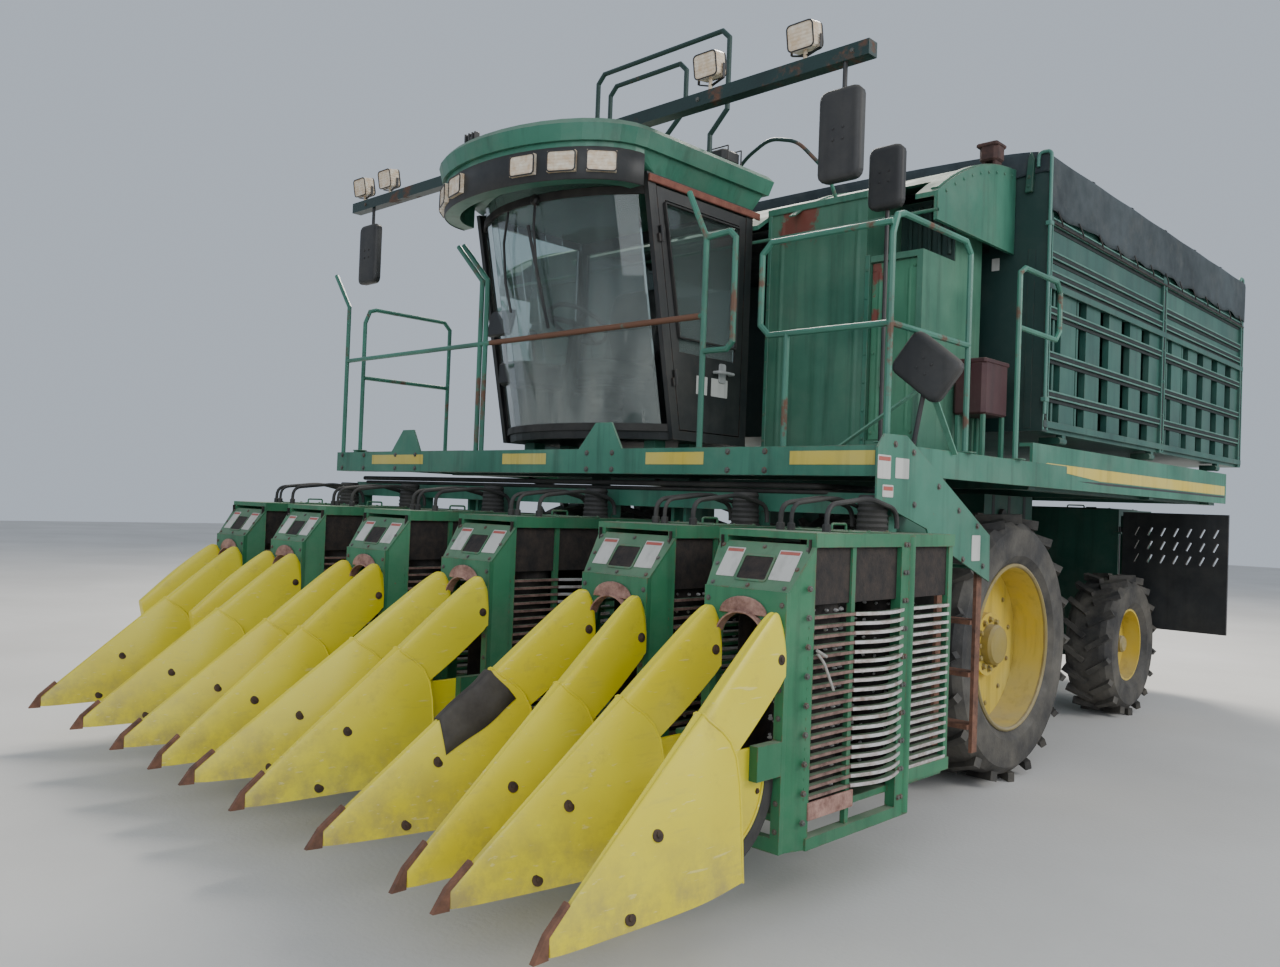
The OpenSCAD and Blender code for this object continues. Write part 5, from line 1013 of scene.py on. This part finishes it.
# what each piece that all the units share is made of, and the angle up to which it is smooth
UNIT_PIECES = {
    "rubbed_grid_bars": (bright_steel, 40),
    "rusty_grid_bars": (rusty_iron("grid_rust", (0.1, 0.055, 0.045), (0.27, 0.17, 0.14)), False),
    "unit_bolts": (bolt_steel, False), "mouth_lips": (lip_rust, 40),
    "blank_signs": (plate_white, False), "sign_heads": (plate_red, False),
    "window_frames": (unit_green, 35), "suction_boots": (rubber, 30), "unit_covers": (unit_green, 35),
    # the units' dark sheets stand where there is only shade: painted shade
    "unit_shade_sheets": (rusty_iron("unit_painted_shade", (0.01, 0.009, 0.009), (0.04, 0.028, 0.022)), False),
    "rubber_skirts": (rubber, 40), "scraped_plates": (lip_rust, False), "unit_pipes": (rubber, 40),
}
parts = {name: [] for name in UNIT_PIECES}


def add(name, *shapes):
    parts[name] += shapes


# profiles: the boot's ribs, as radius and height; the mouth's arch and the crown over it; a skirt's sector
boot = [(0.081, 0), (0.081, 0.008)] + [(0.073 + 0.006 * (k % 2) - 0.0006 * k, 0.012 + 0.0135 * k)
                                       for k in range(13)] + [(0.058, 0.178), (0.058, 0.15)]
swing = np.radians(np.linspace(18, 162, 19))
crown = [(0.125 * math.cos(a), 0.075 * math.sin(a)) for a in np.linspace(0, np.pi, 13)]
outer, inner = ([(r * math.sin(a), -r * math.cos(a)) for a in np.linspace(0.026, np.pi / 2, 20)] + [(r, 0.058)]
                for r in (0.3352, 0.2735))
PLATE_BOLTS = [(-0.19, 0.025), (0, 0.025), (0.19, 0.025), (-0.225, 0.22), (0.225, 0.22), (0, 0.222), (-0.212, 0.12),
               (0.212, 0.12)]


def on_plate(x, u, v, out=0.0):
    """A point of the sloping plate of the unit at x: u beside its middle, v up it from its foot, out over it."""
    return plate_foot + up_plate * v + (x + u, 0, 0) + out * off_plate


for x in UNIT_X:
    for side in (1, -1):
        wall = x + side * (UNIT_HALF - 0.01)
        near = wall + side * 0.002
        for z in BAR_Z0 + BAR_STEP * np.arange(BARS):
            bowed = np.stack([near + side * 0.045 * np.sin(np.pi * bow_share),
                              grid_start + (grid_end - grid_start) * bow_share, np.full(15, z)], -1)
            rear = [[near, grid_end + 0.03, z], [near, FACE + UNIT_LONG - 0.032, z]]
            add("rubbed_grid_bars", carry(np.concatenate([bowed, rear]), bar(0.015, 0.0085), UP))
            add("rusty_grid_bars", carry([(near, y, z) for y in (FACE + 0.15, FACE + 0.3, grid_start)],
                                         bar(0.013, 0.007), UP))
        add("unit_bolts", studs([(x + side * (FRONT_HALF - 0.022), FACE, z) for z in np.arange(0.42, 1.36, 0.115)],
                                FRONT, 0.009, 0.008))
        # a dark sheet closes the side over the bars, painted shade; a rubber skirt stands behind the shoe, iron is
        # scraped bare
        sheet = x + side * (UNIT_HALF - 0.026)
        add("unit_shade_sheets", block(sheet - 0.002, FACE + 0.12, 1.338, sheet + 0.002, FACE + UNIT_LONG - 0.035,
                                      1.612, 0.0008))
        add("rubber_skirts", slab(outer + inner[::-1], (x + side * 0.168 - 0.0113, FACE - 0.33, 0.65), SIDE, 0.0226,
                                  0.0006))
        foot = x + side * (UNIT_HALF - 0.005)
        add("scraped_plates", block(foot - 0.003, FACE + 0.14, 0.452, foot + 0.0075, grid_start + 0.01, 0.525, 0.001))
    # the pressure sheet stands across the row from the drums, near black: painted shade
    add("unit_shade_sheets", block(x - 0.152, FACE + 0.16, 0.5, x - 0.147, FACE + UNIT_LONG - 0.06, 1.33, 0.001))
    if x == UNIT_X[0]:
        add("unit_bolts", studs([(x + UNIT_HALF, FACE + d, z) for d in (0.87, 0.895)
                                 for z in np.arange(0.42, 1.6, 0.13)], LEFT, 0.01, 0.009),
            studs([(x + 0.2575, FACE + 0.105, z) for z in np.arange(0.45, 1.5, 0.12)], (0.95, -0.31, 0), 0.01, 0.012))
    # arched lip of the mouth, in rusty iron, and the crowned plate over it
    arc = np.stack([x + 0.135 * np.cos(swing), np.full(19, FACE - 0.006), 1.163 + 0.135 * np.sin(swing)], -1)
    add("mouth_lips", carry(arc, bar(0.05, 0.008), BACK), slab(crown, (x, FACE - 0.0005, 1.288), WALL, 0.012, 0.003))
    # the sloping plate: two blank signs with their red heads, bolts, and a window in its frame, filled by a dark
    # sheet: painted shade
    slope_plane = (LEFT, up_plate)
    for u, wide in ((-0.143, 0.098), (0.146, 0.112)):
        add("blank_signs", tile(wide, 0.15, 0.004, on_plate(x, u, 0.135, 0.0004), slope_plane, 0.002, 0.0006))
        add("sign_heads", tile(wide - 0.012, 0.016, 0.002, on_plate(x, u, 0.195, 0.0024), slope_plane, 0.0012,
                               0.0004))
    add("unit_bolts", studs([on_plate(x, u, v) for u, v in PLATE_BOLTS], off_plate, 0.008, 0.007))
    add("window_frames", frame_of(0.15, 0.115, 0.008, 0.01, 0.005, on_plate(x, 0, 0.112, 0.0004), slope_plane))
    add("unit_shade_sheets", tile(0.15, 0.115, 0.008, on_plate(x, 0, 0.112, 0.0006), slope_plane, *THIN))
    # on top: the bolted cover with its handle, the boot, and pipes that loop over it from the cross beam
    handle = [(x + 0.03, FACE + y, z) for y, z in ((0.6, 1.646), (0.6, 1.675), (0.72, 1.675), (0.72, 1.646))]
    add("unit_covers", tile(0.42, 0.36, 0.03, (x, FACE + 0.66, 1.6404), TOP, 0.006, 0.002),
        studs([(x + a, FACE + 0.66 + b, 1.6464) for a in (-0.19, 0.19) for b in (-0.16, 0, 0.16)], UP, 0.008, 0.006),
        tube(handle, 0.012, 0.006, LEFT))
    add("suction_boots", revolve(boot, (x + 0.025, FACE + 0.96, 1.6403), UP, 28))
    for px, pr in ((-0.13, 0.012), (-0.07, 0.01), (0.12, 0.012)):
        loop = [(x + px, FACE + y, z) for y, z in ((0.42, 1.642), (0.42, 1.76), (0.78, 1.8), (1.03, 1.75),
                                                   (1.03, 1.66))]
        nut = [(pr + 0.008, 0), (pr + 0.008, 0.03), (pr + 0.002, 0.035)]
        add("unit_pipes", tube(loop, 0.07, pr, LEFT, steps=6), revolve(nut, (x + px, FACE + 0.42, 1.6405), UP, 6))
for name, (material, smooth) in UNIT_PIECES.items():
    piece(name, parts[name], material, "header", smooth)
# a bent latch on the outer bars of the left unit
latch = [tube([(2.668, FACE + 0.16, 1.14), (2.676, FACE + 0.2, 1.1), (2.68, FACE + 0.27, 0.98)], 0.02, 0.006, LEFT),
         carry([(2.672, FACE + 0.15, 1.155), (2.676, FACE + 0.215, 1.125)], ring(0.007, 8), LEFT)]
piece("bar_latch", latch, rusty_iron("latch_steel", (0.25, 0.24, 0.22), (0.42, 0.4, 0.37)), "header", smooth=50)
# spindle bars: upright rows of short spindles that show between the grid bars of the left units
stubs = []
for x in UNIT_X[:2]:
    for middle in (-2.04, -1.42):
        for a in np.arange(0, 2 * np.pi, np.pi / 8):
            out = np.array([math.cos(a), math.sin(a), 0])
            stubs += [revolve([(0.008, 0), (0.0075, 0.012), (0.003, 0.02)], (x + 0.068, middle, z) + 0.139 * out, out,
                              5) for z in 0.56 + 0.083 * np.arange(10)]
piece("spindles", stubs, steel, "header", smooth=40)


# Stalk lifters. Pairs of moulded yellow shields, worn and scratched by stalks: a low point that rides on the ground
# under a narrower arm bolted to the unit's face, with a curved shoe under each point. Two points are gone.
REACH, GAUGE, ARM_SHIFT = 1.225, 0.336, 0.024
# for each unit, where the left and the right tip stand beside its middle; the points that are gone, by unit and side
TIPS = [(0.2, -0.33), (0.18, -0.43), (0.03, -0.51), (0.1, -0.42), (-0.06, -0.43), (0.01, -0.43)]
GONE = [(4, -1), (5, -1)]
# sections: distance ahead of the face and height of ridge, shoulder and lower edge, then the half widths there
POINT = [(1.225, 0.331, 1.225, 0.303, 1.225, 0.272, 0.007, 0.014, 0.018),
         (1.14, 0.409, 1.135, 0.345, 1.13, 0.273, 0.012, 0.027, 0.034),
         (0.83, 0.672, 0.815, 0.5, 0.8, 0.29, 0.02, 0.06, 0.082),
         (0.59, 0.875, 0.565, 0.64, 0.545, 0.302, 0.027, 0.084, 0.102),
         (0.49, 0.958, 0.35, 0.785, 0.335, 0.326, 0.034, 0.066, 0.106)]
ARM = [(0.4896, 0.958, 0.4196, 0.8715, 0.3496, 0.785, 0.029, 0.044, 0.055),
       (0.3, 1.122, 0.24, 1.012, 0.19, 0.895, 0.027, 0.038, 0.042),
       (0.11, 1.278, 0.07, 1.13, 0.045, 1.012, 0.024, 0.034, 0.035),
       (0.042, 1.31, 0.02, 1.18, 0.012, 1.045, 0.018, 0.033, 0.034),
       (0.0, 1.255, 0.0, 1.15, 0.0, 1.055, 0.014, 0.032, 0.034)]
STUB = (0.52, 0.905, 0.5, 0.8, 0.48, 0.705, 0.024, 0.032, 0.034)


def flow(table, count):
    """count rows that pass smoothly through the rows of a table: in each column a cubic between neighbours, whose
    slope at a row is half the step from the row before it to the row after it."""
    table = np.asarray(table, float)
    slope = np.gradient(table, axis=0)
    t = np.linspace(0, len(table) - 1, count)
    k = np.minimum(t.astype(int), len(table) - 2)
    f = (t - k)[:, None]
    return ((2 * f ** 3 - 3 * f ** 2 + 1) * table[k] + (f ** 3 - 2 * f ** 2 + f) * slope[k]
            + (3 * f ** 2 - 2 * f ** 3) * table[k + 1] + (f ** 3 - f ** 2) * slope[k + 1])


def shield(unit, side, sections, stations):
    """A lofted shield: at each station the section runs up from one lower edge over shoulder and rounded ridge to the
    other, smoothed through seven corners, and is carried sideways so that the tip stands where the table says."""
    q = flow(sections, stations)
    zero = np.zeros(stations)
    wide, tip = q[:, 6:9], TIPS[unit][side < 0]
    ahead = np.stack([q[:, 4], q[:, 2], q[:, 0], q[:, 0], q[:, 0], q[:, 2], q[:, 4]], -1)
    under = q[:, 1] - 0.45 * q[:, 6]
    high = np.stack([q[:, 5], q[:, 3], under, q[:, 1], under, q[:, 3], q[:, 5]], -1)
    over = np.stack([-wide[:, 2], -wide[:, 1], -wide[:, 0], zero, wide[:, 0], wide[:, 1], wide[:, 2]], -1)
    fine = [flow(values.T, 25).T for values in (ahead, high, over)]
    base = ARM_SHIFT + side * GAUGE / 2
    x = UNIT_X[unit] + base + (tip - base) * fine[0] / REACH + fine[2]
    return np.stack([x, FACE - 0.0003 - fine[0], fine[1]], -1)


def nearest(grid, y, z):
    """The point of a shield's left side closest to a height and a place along it."""
    sideways = grid[:, 13:]
    gap = (sideways[..., 1] - y) ** 2 + (sideways[..., 2] - z) ** 2
    return sideways.reshape(-1, 3)[np.argmin(gap)]


def bolted(spot, way, radius, lift):
    """A bolt on a crowned washer that bears on a shield."""
    return [studs([spot], way, 0.011, 0.01), revolve([(radius, -0.004), (radius, 0.002), (radius - lift, 0.0045)],
                                                     spot, way, 16)]


shields, washers = [], []
sweep = np.linspace(0, np.pi / 2, 20)
for unit, side in [(unit, side) for unit in range(6) for side in (1, -1)]:
    whole = (unit, side) not in GONE
    if whole:
        grid = shield(unit, side, POINT, 34)
        # with a rolled rim round its rear end
        shields += [stacked(grid), carry(grid[-1] + (0, 0.001, 0), bar(0.01, 0.01, 0.3), BACK, closed=True)]
        for y, z in ((-3.17, 0.56), (-3.33, 0.33)):
            washers += bolted(nearest(grid, y, z), (0.93, -0.1, 0.36), 0.024, 0.005)
        # shoe: a flat sector with a tread along its curve
        shoe = UNIT_X[unit] + side * GAUGE / 2
        outline = [(0.012, 0.13), (0.012, -0.2675)] + [(0.268 * math.sin(a), -0.268 * math.cos(a))
                                                       for a in sweep[1:]] + [(0.268, 0.13)]
        shields.append(slab(outline, (shoe - 0.0077, FACE - 0.33, 0.65), SIDE, 0.0154, 0.004))
        shields.append(carry([(shoe, FACE - 0.33 + 0.262 * math.sin(a), 0.65 - 0.262 * math.cos(a)) for a in sweep],
                             bar(0.03, 0.01, 0.3), LEFT))
        washers.append(studs([(shoe + 0.0077, FACE - 0.1, z) for z in (0.72, 0.6)], LEFT, 0.009, 0.008))
    grid = shield(unit, side, ARM if whole else [STUB] + ARM[1:], 26)
    shields.append(stacked(grid))
    washers += bolted(nearest(grid, -2.45, 1.13), (0.98, -0.05, 0.12), 0.022, 0.004)
scuffed = Recipe("lifter_yellow")
sun = scuffed.blend(scuffed.ramp(scuffed.noise(1.6, 5), 0.35, 0.68), (0.7, 0.58, 0.018, 1), (0.74, 0.65, 0.045, 1))
rub = scuffed.ramp(scuffed.noise(1.0, 7, 0.7, (26, 3, 26)), 0.57, 0.76, 0.0, 0.4)
sun = scuffed.blend(rub, sun, (0.42, 0.36, 0.12, 1))
stain = scuffed.ramp(scuffed.noise(4.5, 9, 0.75), 0.58, 0.76, 0.0, 0.5)
sun = scuffed.blend(stain, sun, (0.36, 0.27, 0.08, 1))
mud = scuffed.times(scuffed.ramp(scuffed.along("Z"), 0.62, 0.27, 0.0, 0.8),
                    scuffed.ramp(scuffed.noise(7, 8, 0.7), 0.42, 0.66))
sun = scuffed.blend(mud, sun, (0.27, 0.21, 0.12, 1))
scratch = scuffed.ramp(scuffed.noise(1.0, 3, 0.5, (60, 5, 60)), 0.66, 0.7, 0.0, 1.0)
lifter_yellow = scuffed.finish(scuffed.blend(scuffed.times(scratch, 0.35), sun, (0.78, 0.72, 0.35, 1)),
                               scuffed.ramp(stain, 0, 0.6, 0.36, 0.6), scuffed.larger(scratch, scuffed.noise(3, 3)),
                               0.0012)
lifters = piece("stalk_lifter_shields", shields, lifter_yellow, "header", smooth=38)
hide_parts("stalk_lifters")
piece("lifter_washers", washers, rusty_iron("washer_iron", (0.03, 0.02, 0.014), (0.09, 0.05, 0.03)), "header",
      smooth=40)
# a loose sheet of tyre rubber laid over the fourth point's ridge
lies_on = shield(1, -1, POINT, 60)[34:57, 5:20]
lift = np.array([0, -0.35, 0.93]) * 0.006 + np.array([0, 0, 0.004]) * np.sin(np.linspace(0, 9, 23))[:, None, None]
sheet = lies_on + lift
flap, flap_area = cloth_piece("rubber_flap", sheet, dusty_rubber("flap_rubber", (0.03, 0.024, 0.02), worn=0.5),
                              "header", 0.007)
